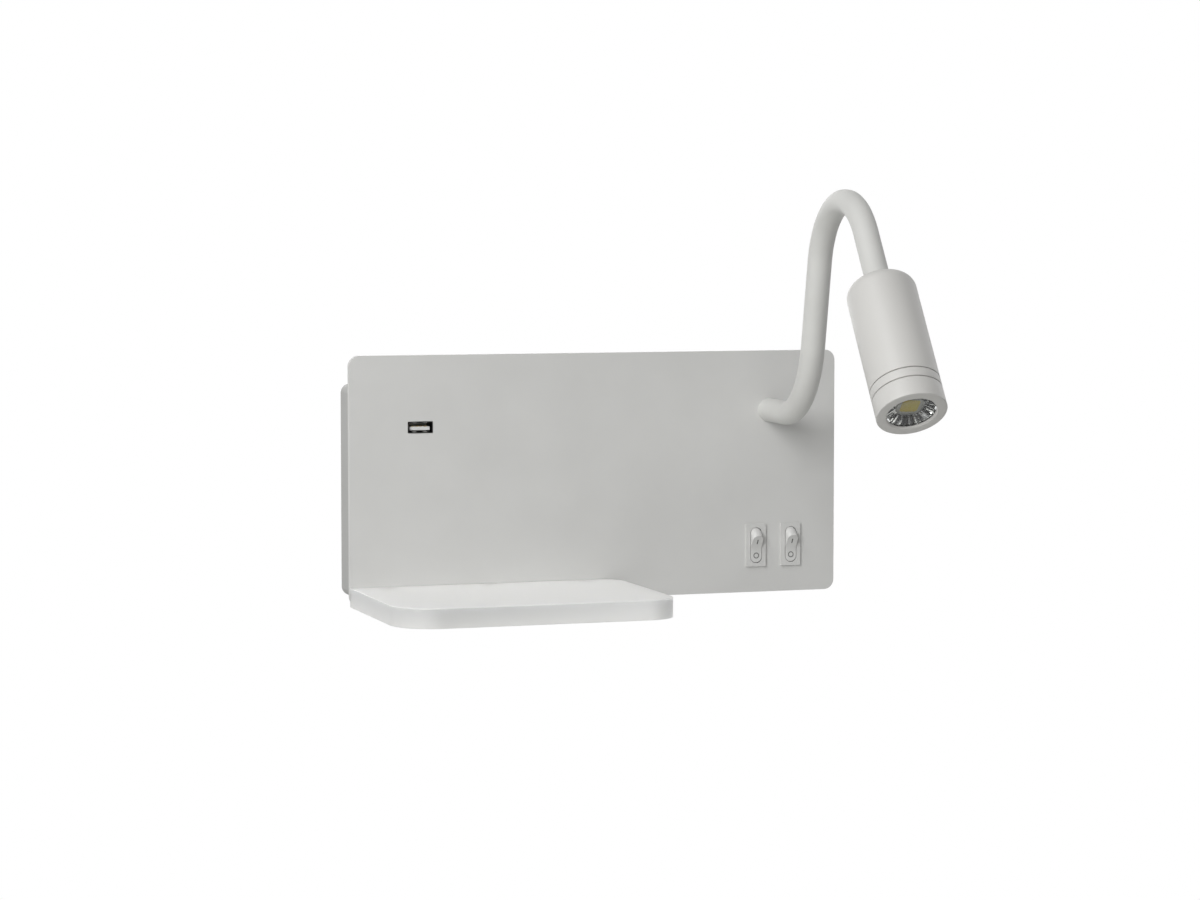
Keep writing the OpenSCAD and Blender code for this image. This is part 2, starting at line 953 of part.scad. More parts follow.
// Washer and nut that hold the arm behind the plate
module gland_washer() {
    color("silver")
        difference() {
            bar_y(arm_x, arm_z, plate_back, plate_back + washer_t, washer_r);
            bar_y(
                arm_x, arm_z, plate_back - cut, plate_back + washer_t + cut,
                shank_r + fit_gap
            );
        }
}
module gland_nut() {
    nut_y = plate_back + washer_t;
    color("goldenrod")
        difference() {
            hex_y(arm_x, arm_z, nut_y, nut_y + gland_nut_h, gland_nut_w);
            bar_y(arm_x, arm_z, nut_y - cut, nut_y + gland_nut_h + cut, shank_r + fit_gap);
        }
}

// One stretch of the flexible tube, from the pivot behind it to the pivot ahead
module arm_link(i) {
    p0 = pivots[i - 1];
    p1 = pivots[i];
    a = atan2(p1[1] - p0[1], p1[0] - p0[0]);
    l = norm(p1 - p0);
    color("gainsboro")
        at_arm(p0, a)
            difference() {
                union() {
                    translate([0, 0, rim]) cylinder(h = l - rim, r = tube_r);
                    translate([0, 0, l]) sphere(tube_r);
                }
                sphere(cup_r);
                cylinder(h = l + 2 * tube_r, r = bore_r);
                translate([0, 0, l]) bore_flare();
            }
}

// End fitting of the tube, screwed into the back of the head
module head_neck() {
    color("gainsboro")
        at_arm(pivots[link_count], -head_angle)
            difference() {
                union() {
                    translate([0, 0, rim]) cylinder(h = end_l - rim, r = tube_r);
                    translate([0, 0, rim]) cylinder(h = end_l - rim + neck_l, r = neck_r);
                }
                sphere(cup_r);
                cylinder(h = end_l + neck_l + cut, r = bore_r);
            }
}

// Nut on the end fitting, inside the head
module neck_nut() {
    color("goldenrod")
        at_head()
            translate([0, 0, head_back_t])
                difference() {
                    cylinder(h = neck_nut_h, r = neck_nut_w / sqrt(3), $fn = 6);
                    translate([0, 0, -cut])
                        cylinder(h = neck_nut_h + 2 * cut, r = neck_r + fit_gap);
                }
}

// Tube of the head with its rounded back
module head_body() {
    cavity_r = head_r - head_back_t + 2;
    color("gainsboro")
        at_head()
            difference() {
                rotate_extrude() {
                    square([head_or - head_r, body_l]);
                    translate([0, head_r]) square([head_or, body_l - head_r]);
                    translate([head_or - head_r, head_r])
                        intersection() {
                            circle(head_r);
                            translate([0, -head_r]) square(head_r);
                        }
                }
                translate([0, 0, -cut]) cylinder(h = head_l, r = neck_r + fit_gap);
                rotate_extrude() {
                    translate([0, head_back_t])
                        square([head_ir - cavity_r, head_l]);
                    translate([0, head_back_t + cavity_r]) square([head_ir, head_l]);
                    translate([head_ir - cavity_r, head_back_t + cavity_r])
                        intersection() {
                            circle(cavity_r);
                            translate([0, -cavity_r]) square(cavity_r);
                        }
                }
            }
}

// Narrow band between the two grooves, with the spigots that join body and bezel
module head_band() {
    color("gainsboro")
        at_head() {
            ring(band_z, bezel_z - groove, head_or, spigot_ir);
            ring(body_l - spigot_l, bezel_z + spigot_l, head_ir - fit_gap, spigot_ir);
            ring(body_l, bezel_z, spigot_or, spigot_ir);
        }
}

// Front ring that screws onto the band and holds the lens
module head_bezel() {
    color("gainsboro")
        at_head()
            difference() {
                translate([0, 0, bezel_z]) cylinder(h = head_bezel_l, r = head_or);
                translate([0, 0, bezel_z - cut])
                    cylinder(h = head_bezel_l - lip_t + cut, r = head_ir);
                translate([0, 0, bezel_z]) cylinder(h = head_l, r = aperture_d / 2);
                translate([0, 0, head_l - lip_bevel])
                    cylinder(
                        h = lip_bevel + 0.01,
                        r1 = aperture_d / 2,
                        r2 = aperture_d / 2 + lip_bevel
                    );
            }
}

// Solid clear lens: a flange behind the bezel's lip and a cone down to the light source
module head_lens() {
    color("lightblue")
        at_head()
            rotate_extrude()
                polygon([
                    [0, reflector_z],
                    [lens_cone_back_r, reflector_z],
                    [lens_cone_front_r, lens_z],
                    [lens_r, lens_z],
                    [lens_r, lens_z + lens_t],
                    [0, lens_z + lens_t]
                ]);
}

// Silicone ring behind the lens's flange
module lens_gasket() {
    color("black")
        at_head()
            ring(lens_z - gasket_t, lens_z, lens_r, reflector_front_r - 0.6);
}

// Polished cup about the lens's cone
module reflector() {
    depth = lens_z - gasket_t - reflector_z;
    color("silver")
        at_head()
            translate([0, 0, reflector_z])
                difference() {
                    union() {
                        cylinder(
                            h = depth,
                            r1 = reflector_back_r,
                            r2 = reflector_front_r
                        );
                        translate([0, 0, depth - 1])
                            cylinder(h = 1, r = lens_r);
                    }
                    translate([0, 0, -0.01])
                        cylinder(
                            h = depth + 0.02,
                            r1 = reflector_back_r - reflector_wall,
                            r2 = reflector_front_r - reflector_wall
                        );
                }
}

// Light source on its board
module cob_led() {
    color("yellow")
        at_head()
            translate([-cob[0] / 2, -cob[1] / 2, cob_z]) cube(cob);
}
module cob_board() {
    color("white")
        at_head()
            translate([0, 0, cob_z - cob_board_t])
                cylinder(h = cob_board_t, r = cob_board_r);
}

// Metal plug that takes the heat into the head, with a boss that carries the light source
module heat_sink() {
    color("silver")
        at_head() {
            ring(sink_z, sink_z + sink_l, sink_r, bore_r);
            ring(sink_z + sink_l - 1, sink_front, sink_boss_r, bore_r);
        }
}

// Flexible lead, swept along its points
module arm_lead() {
    n = len(lead_points);
    frames = chain_frames(lead_points, [0, 0, 1]);
    rings = [
        for (i = [0 : n - 1], k = [0 : lead_sides - 1])
            let (turn = k * 360 / lead_sides)
            lead_points[i] + lead_d / 2 * (cos(turn) * frames[i][0] + sin(turn) * frames[i][1])
    ];
    color("gray")
        polyhedron(
            points = rings,
            faces = concat(
                [[for (k = [0 : lead_sides - 1]) k]],
                [
                    for (i = [0 : n - 2], k = [0 : lead_sides - 1])
                        let (next = (k + 1) % lead_sides)
                        [
                            i * lead_sides + next,
                            i * lead_sides + k,
                            (i + 1) * lead_sides + k,
                            (i + 1) * lead_sides + next
                        ]
                ],
                [[for (k = [lead_sides - 1 : -1 : 0]) (n - 1) * lead_sides + k]]
            )
        );
}

back_plate();
cable_grommet();
terminal_block();
terminal_screws();
earth_screw();
rear_housing();
housing_screws();
front_plate();
plate_studs();
plate_nuts();
shelf();
shelf_inserts();
shelf_screws();
led_strip();
light_diffuser();
led_driver();
driver_screws();
usb_shell();
usb_tongue();
usb_contacts();
usb_board();
usb_carrier();
reading_switch_body();
reading_rocker();
backlight_switch_body();
backlight_rocker();
switch_terminals();
arm_root();
gland_washer();
gland_nut();
arm_lead();
head_neck();
neck_nut();
head_body();
head_band();
head_bezel();
head_lens();
lens_gasket();
reflector();
cob_led();
cob_board();
heat_sink();
for (i = [1 : link_count])
    arm_link(i);
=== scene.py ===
"""Looks of a wall lamp with a flexible reading arm, a frosted shelf, a socket and switches.

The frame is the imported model: the wall is the plane y = 0, the lamp stands out of it towards -Y,
+X is to the viewer's right and +Z is up. Lengths in the classes below are in millimetres.
"""

from __future__ import annotations

import logging
import math
import random
from collections.abc import Callable, Iterable, Sequence
from dataclasses import dataclass, field
from enum import Enum

import bmesh
import bpy
from mathutils import Matrix, Vector


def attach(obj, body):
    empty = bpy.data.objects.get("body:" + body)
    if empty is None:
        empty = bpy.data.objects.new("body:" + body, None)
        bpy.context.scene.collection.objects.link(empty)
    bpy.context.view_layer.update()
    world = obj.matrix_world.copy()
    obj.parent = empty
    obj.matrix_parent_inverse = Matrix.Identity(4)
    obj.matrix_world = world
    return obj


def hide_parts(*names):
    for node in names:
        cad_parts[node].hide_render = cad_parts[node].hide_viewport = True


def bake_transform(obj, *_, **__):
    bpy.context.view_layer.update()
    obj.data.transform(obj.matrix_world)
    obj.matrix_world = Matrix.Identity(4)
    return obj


MM = 0.001
LOG = logging.getLogger("wall_lamp")
Point2 = tuple[float, float]
Colour = tuple[float, float, float, float]

# Edges sharper than this stay sharp, or are softened
SHARP_DEG = 35.0
# CAD faces nearer to one plane than this become one before their edges are softened
FLAT_DEG = 0.5
# Points nearer than this are one, in metres
SAME_POINT = 1e-7
SAME_CAD_POINT = 1e-6
# Lengths below this count as none
NO_LENGTH = 1e-9
# Corners nearer to straight than this stay as they are, in radians
STRAIGHT = 1e-4
# A round corner takes at most this share of each side beside it
MOST_OF_SIDE = 0.48
# Most of a noise lies between these two values
PATTERN_LOW, PATTERN_HIGH = 0.3, 0.7

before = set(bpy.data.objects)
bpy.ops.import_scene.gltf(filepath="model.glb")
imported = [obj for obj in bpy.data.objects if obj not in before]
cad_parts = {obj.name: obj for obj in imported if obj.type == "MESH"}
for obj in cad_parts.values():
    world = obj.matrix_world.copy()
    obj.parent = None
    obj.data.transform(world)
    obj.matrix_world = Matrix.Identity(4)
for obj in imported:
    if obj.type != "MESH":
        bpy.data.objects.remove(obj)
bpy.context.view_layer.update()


def linear(hex_colour: str) -> Colour:
    """Turns an sRGB hex colour into linear values.

    Args:
        hex_colour: Colour such as "#C8C8C6".

    Returns:
        Linear red, green, blue and an alpha of 1.
    """
    parts = [int(hex_colour[i : i + 2], 16) / 255 for i in (1, 3, 5)]
    red, green, blue = (
        p / 12.92 if p <= 0.04045 else ((p + 0.055) / 1.055) ** 2.4 for p in parts
    )
    return (red, green, blue, 1.0)


def add_node(
    tree: bpy.types.NodeTree,
    kind: str,
    settings: dict[str, object] | None = None,
    inputs: dict[str | int, object] | None = None,
) -> bpy.types.Node:
    """Adds a node with its settings, values and links.

    Args:
        tree: Node tree that gets the node.
        kind: Blender's name of the node's type.
        settings: The node's own properties.
        inputs: A value or another node's output socket for each input.

    Returns:
        The new node.
    """
    made = tree.nodes.new(kind)
    for name, value in (settings or {}).items():
        setattr(made, name, value)
    for socket, value in (inputs or {}).items():
        if isinstance(value, bpy.types.NodeSocket):
            tree.links.new(value, made.inputs[socket])
        else:
            made.inputs[socket].default_value = value
    return made


# ---------------------------------------------------------------- finishes


@dataclass(frozen=True)
class Finish:
    """One finish of the lamp: its colour, its gloss and how its surface was made."""

    name: str
    colour: str
    roughness: float
    metallic: float = 0.0
    ior: float = 1.5

    def material(self) -> bpy.types.Material:
        """Makes the finish's material on first use.

        Returns:
            The material.
        """
        found = bpy.data.materials.get(self.name)
        if found:
            return found
        made = bpy.data.materials.new(self.name)
        made.use_nodes = True
        made.diffuse_color = linear(self.colour)
        tree = made.node_tree
        tree.nodes.clear()
        shader = add_node(
            tree,
            "ShaderNodeBsdfPrincipled",
            inputs={
                "Base Color": linear(self.colour),
                "Roughness": self.roughness,
                "Metallic": self.metallic,
                "IOR": self.ior,
            },
        )
        self.texture(tree, shader)
        add_node(
            tree,
            "ShaderNodeOutputMaterial",
            inputs={"Surface": shader.outputs["BSDF"]},
        )
        return made

    def texture(self, tree: bpy.types.NodeTree, shader: bpy.types.Node) -> None:
        """Adds what the surface shows beyond its colour and gloss, in each kind its own way.

        Args:
            tree: The material's node tree.
            shader: Its principled shader.
        """

    def grain(
        self,
        tree: bpy.types.NodeTree,
        grain_mm: float,
        detail: float = 2.0,
        stretch: tuple[float, float, float] = (1.0, 1.0, 1.0),
    ) -> bpy.types.NodeSocket:
        """Adds an even noise of a real size, held to the piece.

        Args:
            tree: The material's node tree.
            grain_mm: Size of one grain.
            detail: Finer octaves of the noise.
            stretch: How much longer than wide the grain is along each axis.

        Returns:
            The noise's factor.
        """
        place = add_node(tree, "ShaderNodeTexCoord")
        scaled = add_node(
            tree,
            "ShaderNodeMapping",
            inputs={
                "Vector": place.outputs["Object"],
                "Scale": tuple(1 / s for s in stretch),
            },
        )
        return add_node(
            tree,
            "ShaderNodeTexNoise",
            inputs={
                "Vector": scaled.outputs["Vector"],
                "Scale": 1 / (grain_mm * MM),
                "Detail": detail,
                "Roughness": 0.5,
            },
        ).outputs["Fac"]

    def relief(
        self,
        tree: bpy.types.NodeTree,
        shader: bpy.types.Node,
        height: bpy.types.NodeSocket,
        height_mm: float,
        strength: float,
    ) -> None:
        """Raises the surface by a pattern.

        Args:
            tree: The material's node tree.
            shader: Its principled shader.
            height: The pattern, from 0 to 1.
            height_mm: Height of the pattern.
            strength: Share of the relief that is kept.
        """
        bump = add_node(
            tree,
            "ShaderNodeBump",
            inputs={"Height": height, "Distance": height_mm * MM, "Strength": strength},
        )
        tree.links.new(bump.outputs["Normal"], shader.inputs["Normal"])

    def vary(
        self,
        tree: bpy.types.NodeTree,
        shader: bpy.types.Node,
        socket: str,
        pattern: bpy.types.NodeSocket,
        low: str | float,
        high: str | float,
    ) -> None:
        """Lets a pattern move a colour or a value of the shader between two limits.

        Args:
            tree: The material's node tree.
            shader: Its principled shader.
            socket: Name of the shader's input.
            pattern: The pattern, from 0 to 1.
            low: Hex colour or value where the pattern is low.
            high: The same where it is high.
        """
        if isinstance(low, str):
            ramp = add_node(tree, "ShaderNodeValToRGB", inputs={"Fac": pattern})
            ends = ((PATTERN_LOW, low), (PATTERN_HIGH, high))
            for element, (position, colour) in zip(ramp.color_ramp.elements, ends):
                element.position = position
                element.color = linear(colour)
            tree.links.new(ramp.outputs["Color"], shader.inputs[socket])
            return
        spread = add_node(
            tree,
            "ShaderNodeMapRange",
            inputs={
                "Value": pattern,
                "From Min": PATTERN_LOW,
                "From Max": PATTERN_HIGH,
                "To Min": low,
                "To Max": high,
            },
        )
        tree.links.new(spread.outputs["Result"], shader.inputs[socket])

    def uneven_gloss(
        self,
        tree: bpy.types.NodeTree,
        shader: bpy.types.Node,
        pattern: bpy.types.NodeSocket,
        less: float,
        more: float,
    ) -> None:
        """Lets a pattern make the surface a little smoother and rougher than it is on the whole.

        Args:
            tree: The material's node tree.
            shader: Its principled shader.
            pattern: The pattern, from 0 to 1.
            less: How much is taken off the roughness where the pattern is low.
            more: How much is added to it where the pattern is high.
        """
        self.vary(
            tree, shader, "Roughness", pattern, self.roughness - less, self.roughness + more
        )


@dataclass(frozen=True)
class PowderCoat(Finish):
    """Fine matt powder coat on sheet metal and turned aluminium.

    The powder flows out into a faint orange peel, so the broad soft highlight breaks up a little.
    """

    shade_low: str = "#C6C6C4"
    shade_high: str = "#CBCBC9"
    # Twice the real 0.5 mm, so that it shows in the render
    peel_mm: float = 1.1
    peel_height_mm: float = 0.02
    cloud_mm: float = 45.0

    def texture(self, tree: bpy.types.NodeTree, shader: bpy.types.Node) -> None:
        """Adds the orange peel and a slow change of shade from the coat's uneven thickness.

        Args:
            tree: The material's node tree.
            shader: Its principled shader.
        """
        peel = self.grain(tree, self.peel_mm, detail=3.0)
        self.relief(tree, shader, peel, self.peel_height_mm, strength=0.35)
        cloud = self.grain(tree, self.cloud_mm, detail=3.0)
        self.vary(tree, shader, "Base Color", cloud, self.shade_low, self.shade_high)
        self.uneven_gloss(tree, shader, peel, less=0.04, more=0.05)


@dataclass(frozen=True)
class SiliconeSkin(Finish):
    """Matt silicone skin pulled over the flexible tube, slightly soft and faintly dusty."""

    second: str = "#C9C9C6"
    # Several times the real bloom's grain, so that it shows in the render
    grain_mm: float = 0.8
    grain_height_mm: float = 0.015
    cloud_mm: float = 18.0
    depth_mm: float = 0.8

    def texture(self, tree: bpy.types.NodeTree, shader: bpy.types.Node) -> None:
        """Adds the skin's talc-like grain, a soft edge and a little light under the surface.

        Args:
            tree: The material's node tree.
            shader: Its principled shader.
        """
        grain = self.grain(tree, self.grain_mm, detail=4.0)
        self.relief(tree, shader, grain, self.grain_height_mm, strength=0.3)
        self.uneven_gloss(tree, shader, grain, less=0.05, more=0.05)
        cloud = self.grain(tree, self.cloud_mm)
        self.vary(tree, shader, "Base Color", cloud, self.colour, self.second)
        shader.inputs["Sheen Weight"].default_value = 0.08
        shader.inputs["Sheen Roughness"].default_value = 0.5
        shader.inputs["Subsurface Weight"].default_value = 0.06
        shader.inputs["Subsurface Radius"].default_value = (0.9, 0.8, 0.75)
        shader.inputs["Subsurface Scale"].default_value = self.depth_mm * MM


@dataclass(frozen=True)
class FrostedAcrylic(Finish):
    """Plastic sheet frosted by fine blasting: bright on its faces, with painted shade and painted
    light on its cut edges.
    """

    # Painted shade: the cut edge's greyer tone at its top; painted light: its paler tone at its
    # foot
    edge: str = "#C9CDCD"
    edge_foot_painted_light: str = "#C9CDCD"
    # Painted shade that darkens the cut edges towards the lamp's left end
    left_end_painted_shade: str = "#FFFFFF"
    bottom_mm: float = 0.0
    thick_mm: float = 10.0
    left_x_mm: float = -132.0
    right_x_mm: float = 14.0
    glow: float = 0.5
    depth_mm: float = 3.0
    # Upright share of the normal up to which a surface is a cut edge, and from which a face
    edge_until: float = 0.3
    face_from: float = 0.9
    # Several times the real pits of 0.1 mm, so that they show in the render
    frost_mm: float = 0.7
    frost_height_mm: float = 0.02

    def texture(self, tree: bpy.types.NodeTree, shader: bpy.types.Node) -> None:
        """Adds the blasted grain, the painted shade and painted light on the edges, and the light
        under the surface.

        The cut edges are painted greyer than the faces, as painted shade for the eye meeting a
        hundred millimetres of acrylic there instead of ten. Painted light makes them paler at
        their foot, where light that falls in from above gathers, and painted shade keeps them
        darker towards the lamp's left than towards its right.

        Args:
            tree: The material's node tree.
            shader: Its principled shader.
        """
        place = add_node(tree, "ShaderNodeTexCoord")
        upright = add_node(
            tree, "ShaderNodeSeparateXYZ", inputs={0: place.outputs["Normal"]}
        ).outputs["Z"]
        flatness = add_node(
            tree, "ShaderNodeMath", {"operation": "ABSOLUTE"}, {0: upright}
        ).outputs[0]
        at = add_node(tree, "ShaderNodeSeparateXYZ", inputs={0: place.outputs["Object"]})
        share = add_node(
            tree,
            "ShaderNodeMapRange",
            inputs={
                "Value": at.outputs["Z"],
                "From Min": self.bottom_mm * MM,
                "From Max": (self.bottom_mm + self.thick_mm) * MM,
            },
        ).outputs["Result"]
        # painted shade at the top of the cut edges and painted light at their foot
        rim = add_node(tree, "ShaderNodeValToRGB", inputs={"Fac": share})
        rim.color_ramp.elements[0].color = linear(self.edge_foot_painted_light)
        rim.color_ramp.elements[1].color = linear(self.edge)
        along = add_node(
            tree,
            "ShaderNodeMapRange",
            inputs={
                "Value": at.outputs["X"],
                "From Min": self.left_x_mm * MM,
                "From Max": self.right_x_mm * MM,
            },
        ).outputs["Result"]
        # painted shade on the cut edges towards the lamp's left
        shade = add_node(tree, "ShaderNodeValToRGB", inputs={"Fac": along})
        shade.color_ramp.elements[0].color = linear(self.left_end_painted_shade)
        cut = add_node(
            tree,
            "ShaderNodeMix",
            {"data_type": "RGBA", "blend_type": "MULTIPLY"},
            {0: 1.0, 6: rim.outputs["Color"], 7: shade.outputs["Color"]},
        )
        face = add_node(
            tree,
            "ShaderNodeMapRange",
            inputs={
                "Value": flatness,
                "From Min": self.edge_until,
                "From Max": self.face_from,
            },
        ).outputs["Result"]
        tone = add_node(
            tree,
            "ShaderNodeMix",
            {"data_type": "RGBA"},
            {0: face, 6: cut.outputs[2], 7: linear(self.colour)},
        )
        tree.links.new(tone.outputs[2], shader.inputs["Base Color"])
        frost = self.grain(tree, self.frost_mm, detail=5.0)
        self.relief(tree, shader, frost, self.frost_height_mm, strength=0.3)
        self.uneven_gloss(tree, shader, frost, less=0.06, more=0.06)
        shader.inputs["Subsurface Weight"].default_value = self.glow
        shader.inputs["Subsurface Radius"].default_value = (1.0, 1.0, 1.05)
        shader.inputs["Subsurface Scale"].default_value = self.depth_mm * MM


@dataclass(frozen=True)
class MouldedPlastic(Finish):
    """Plastic moulded in a spark-eroded tool: an even satin with a fine tight grain."""

    second: str = "#FFFFFF"
    # Several times a spark-eroded tool's real 0.1 mm, so that it shows in the render
    grain_mm: float = 0.5
    height_mm: float = 0.012
    flow_mm: float = 9.0

    def texture(self, tree: bpy.types.NodeTree, shader: bpy.types.Node) -> None:
        """Adds the tool's grain and slow flow shading.

        Args:
            tree: The material's node tree.
            shader: Its principled shader.
        """
        grain = self.grain(tree, self.grain_mm, detail=4.0)
        self.relief(tree, shader, grain, self.height_mm, strength=0.5)
        self.uneven_gloss(tree, shader, grain, less=0.05, more=0.05)
        flow = self.grain(tree, self.flow_mm)
        self.vary(tree, shader, "Base Color", flow, self.colour, self.second)


@dataclass(frozen=True)
class PlatedSheet(Finish):
    """Plated steel: a cool grey with pale crystal patches a few millimetres across."""

    spangle_mm: float = 4.0
    second: str = "#C4C8CA"
    # Far wider than real hairlines, so that they show in the render
    scratch_mm: float = 0.5
    scratch_height_mm: float = 0.006

    def texture(self, tree: bpy.types.NodeTree, shader: bpy.types.Node) -> None:
        """Adds the crystal patches, and fine scratches from handling.

        Args:
            tree: The material's node tree.
            shader: Its principled shader.
        """
        place = add_node(tree, "ShaderNodeTexCoord")
        cells = add_node(
            tree,
            "ShaderNodeTexVoronoi",
            inputs={
                "Vector": place.outputs["Object"],
                "Scale": 1 / (self.spangle_mm * MM),
            },
        )
        patches = add_node(
            tree, "ShaderNodeSeparateColor", inputs={"Color": cells.outputs["Color"]}
        ).outputs["Red"]
        self.vary(tree, shader, "Base Color", patches, self.colour, self.second)
        self.uneven_gloss(tree, shader, patches, less=0.03, more=0.04)
        scratch = self.grain(tree, self.scratch_mm, stretch=(12.0, 1.0, 1.0))
        self.relief(tree, shader, scratch, self.scratch_height_mm, strength=0.5)


@dataclass(frozen=True)
class MouthSheet(PlatedSheet):
    """Nickel-plated sheet of a socket: grey at its rim, with painted shade that makes it dark
    inside the mouth.
    """

    scratch_mm: float = 0.4
    # Where the painted shade inside the mouth begins, and over what depth it darkens the sheet
    rim_y_mm: float = -37.75
    rim_mm: float = 0.35

    def texture(self, tree: bpy.types.NodeTree, shader: bpy.types.Node) -> None:
        """Darkens the sheet behind its rim as painted shade inside the mouth, and adds scratches
        from plugs.

        Args:
            tree: The material's node tree.
            shader: Its principled shader.
        """
        place = add_node(tree, "ShaderNodeTexCoord")
        depth = add_node(
            tree, "ShaderNodeSeparateXYZ", inputs={0: place.outputs["Object"]}
        ).outputs["Y"]
        inside = add_node(
            tree,
            "ShaderNodeMapRange",
            inputs={
                "Value": depth,
                "From Min": self.rim_y_mm * MM,
                "From Max": (self.rim_y_mm + self.rim_mm) * MM,
            },
        ).outputs["Result"]
        # painted shade: the sheet turns dark behind its rim, inside the mouth
        self.vary(tree, shader, "Base Color", inside, self.colour, self.second)
        scratch = self.grain(tree, self.scratch_mm, stretch=(1.0, 12.0, 1.0))
        self.relief(tree, shader, scratch, self.scratch_height_mm, strength=0.5)
        self.uneven_gloss(tree, shader, scratch, less=0.06, more=0.08)


@dataclass(frozen=True)
class TurnedMetal(Finish):
    """Metal turned on a lathe: fine feed marks that stretch the highlight round the piece."""

    # Coarser than the real 0.1 mm, so that it shows in the render
    feed_mm: float = 0.25
    feed_height_mm: float = 0.008

    def texture(self, tree: bpy.types.NodeTree, shader: bpy.types.Node) -> None:
        """Adds the feed marks and the highlight that they stretch.

        Args:
            tree: The material's node tree.
            shader: Its principled shader.
        """
        marks = self.grain(tree, self.feed_mm, detail=1.0, stretch=(6.0, 6.0, 1.0))
        self.relief(tree, shader, marks, self.feed_height_mm, strength=0.6)
        self.uneven_gloss(tree, shader, marks, less=0.05, more=0.07)
        shader.inputs["Anisotropic"].default_value = 0.4


@dataclass(frozen=True)
class ClearAcrylic(Finish):
    """Clear acrylic moulded in a polished tool: seen through, with a faint mirror on its face."""

    flow_mm: float = 6.0

    def texture(self, tree: bpy.types.NodeTree, shader: bpy.types.Node) -> None:
        """Lets light through, with a trace of flow marks in the gloss.

        Args:
            tree: The material's node tree.
            shader: Its principled shader.
        """
        shader.inputs["Transmission Weight"].default_value = 1.0
        flow = self.grain(tree, self.flow_mm, detail=3.0)
        self.uneven_gloss(tree, shader, flow, less=0.01, more=0.015)


@dataclass(frozen=True)
class Phosphor(Finish):
    """Silicone loaded with yellow phosphor over the light chips, whose grid faintly shows."""

    second: str = "#C6B22E"
    chip_mm: float = 1.0
    depth_mm: float = 0.4

    def texture(self, tree: bpy.types.NodeTree, shader: bpy.types.Node) -> None:
        """Adds the rows of chips under the phosphor.

        Args:
            tree: The material's node tree.
            shader: Its principled shader.
        """
        place = add_node(tree, "ShaderNodeTexCoord")
        cells = add_node(
            tree,
            "ShaderNodeTexVoronoi",
            {"feature": "F1", "distance": "CHEBYCHEV"},
            {
                "Vector": place.outputs["Object"],
                "Scale": 1 / (self.chip_mm * MM),
                "Randomness": 0.0,
            },
        )
        chips = cells.outputs["Distance"]
        self.vary(tree, shader, "Base Color", chips, self.colour, self.second)
        shader.inputs["Subsurface Weight"].default_value = 0.2
        shader.inputs["Subsurface Scale"].default_value = self.depth_mm * MM


@dataclass(frozen=True)
class SolderMask(Finish):
    """Green solder mask over copper tracks: glossy lacquer with lighter lines under it."""

    second: str = "#12502C"
    track: str = "#1F6B3C"
    pattern_mm: float = 5.0

    def texture(self, tree: bpy.types.NodeTree, shader: bpy.types.Node) -> None:
        """Adds tracks and filled fields of copper under the lacquer.

        Args:
            tree: The material's node tree.
            shader: Its principled shader.
        """
        place = add_node(tree, "ShaderNodeTexCoord")
        tracks = add_node(
            tree,
            "ShaderNodeTexBrick",
            inputs={
                "Vector": place.outputs["Object"],
                "Scale": 1 / (self.pattern_mm * MM),
                "Mortar Size": 0.06,
                "Color1": linear(self.colour),
                "Color2": linear(self.second),
                "Mortar": linear(self.track),
            },
        )
        tree.links.new(tracks.outputs["Color"], shader.inputs["Base Color"])
        shader.inputs["Coat Weight"].default_value = 0.5
        shader.inputs["Coat Roughness"].default_value = 0.15


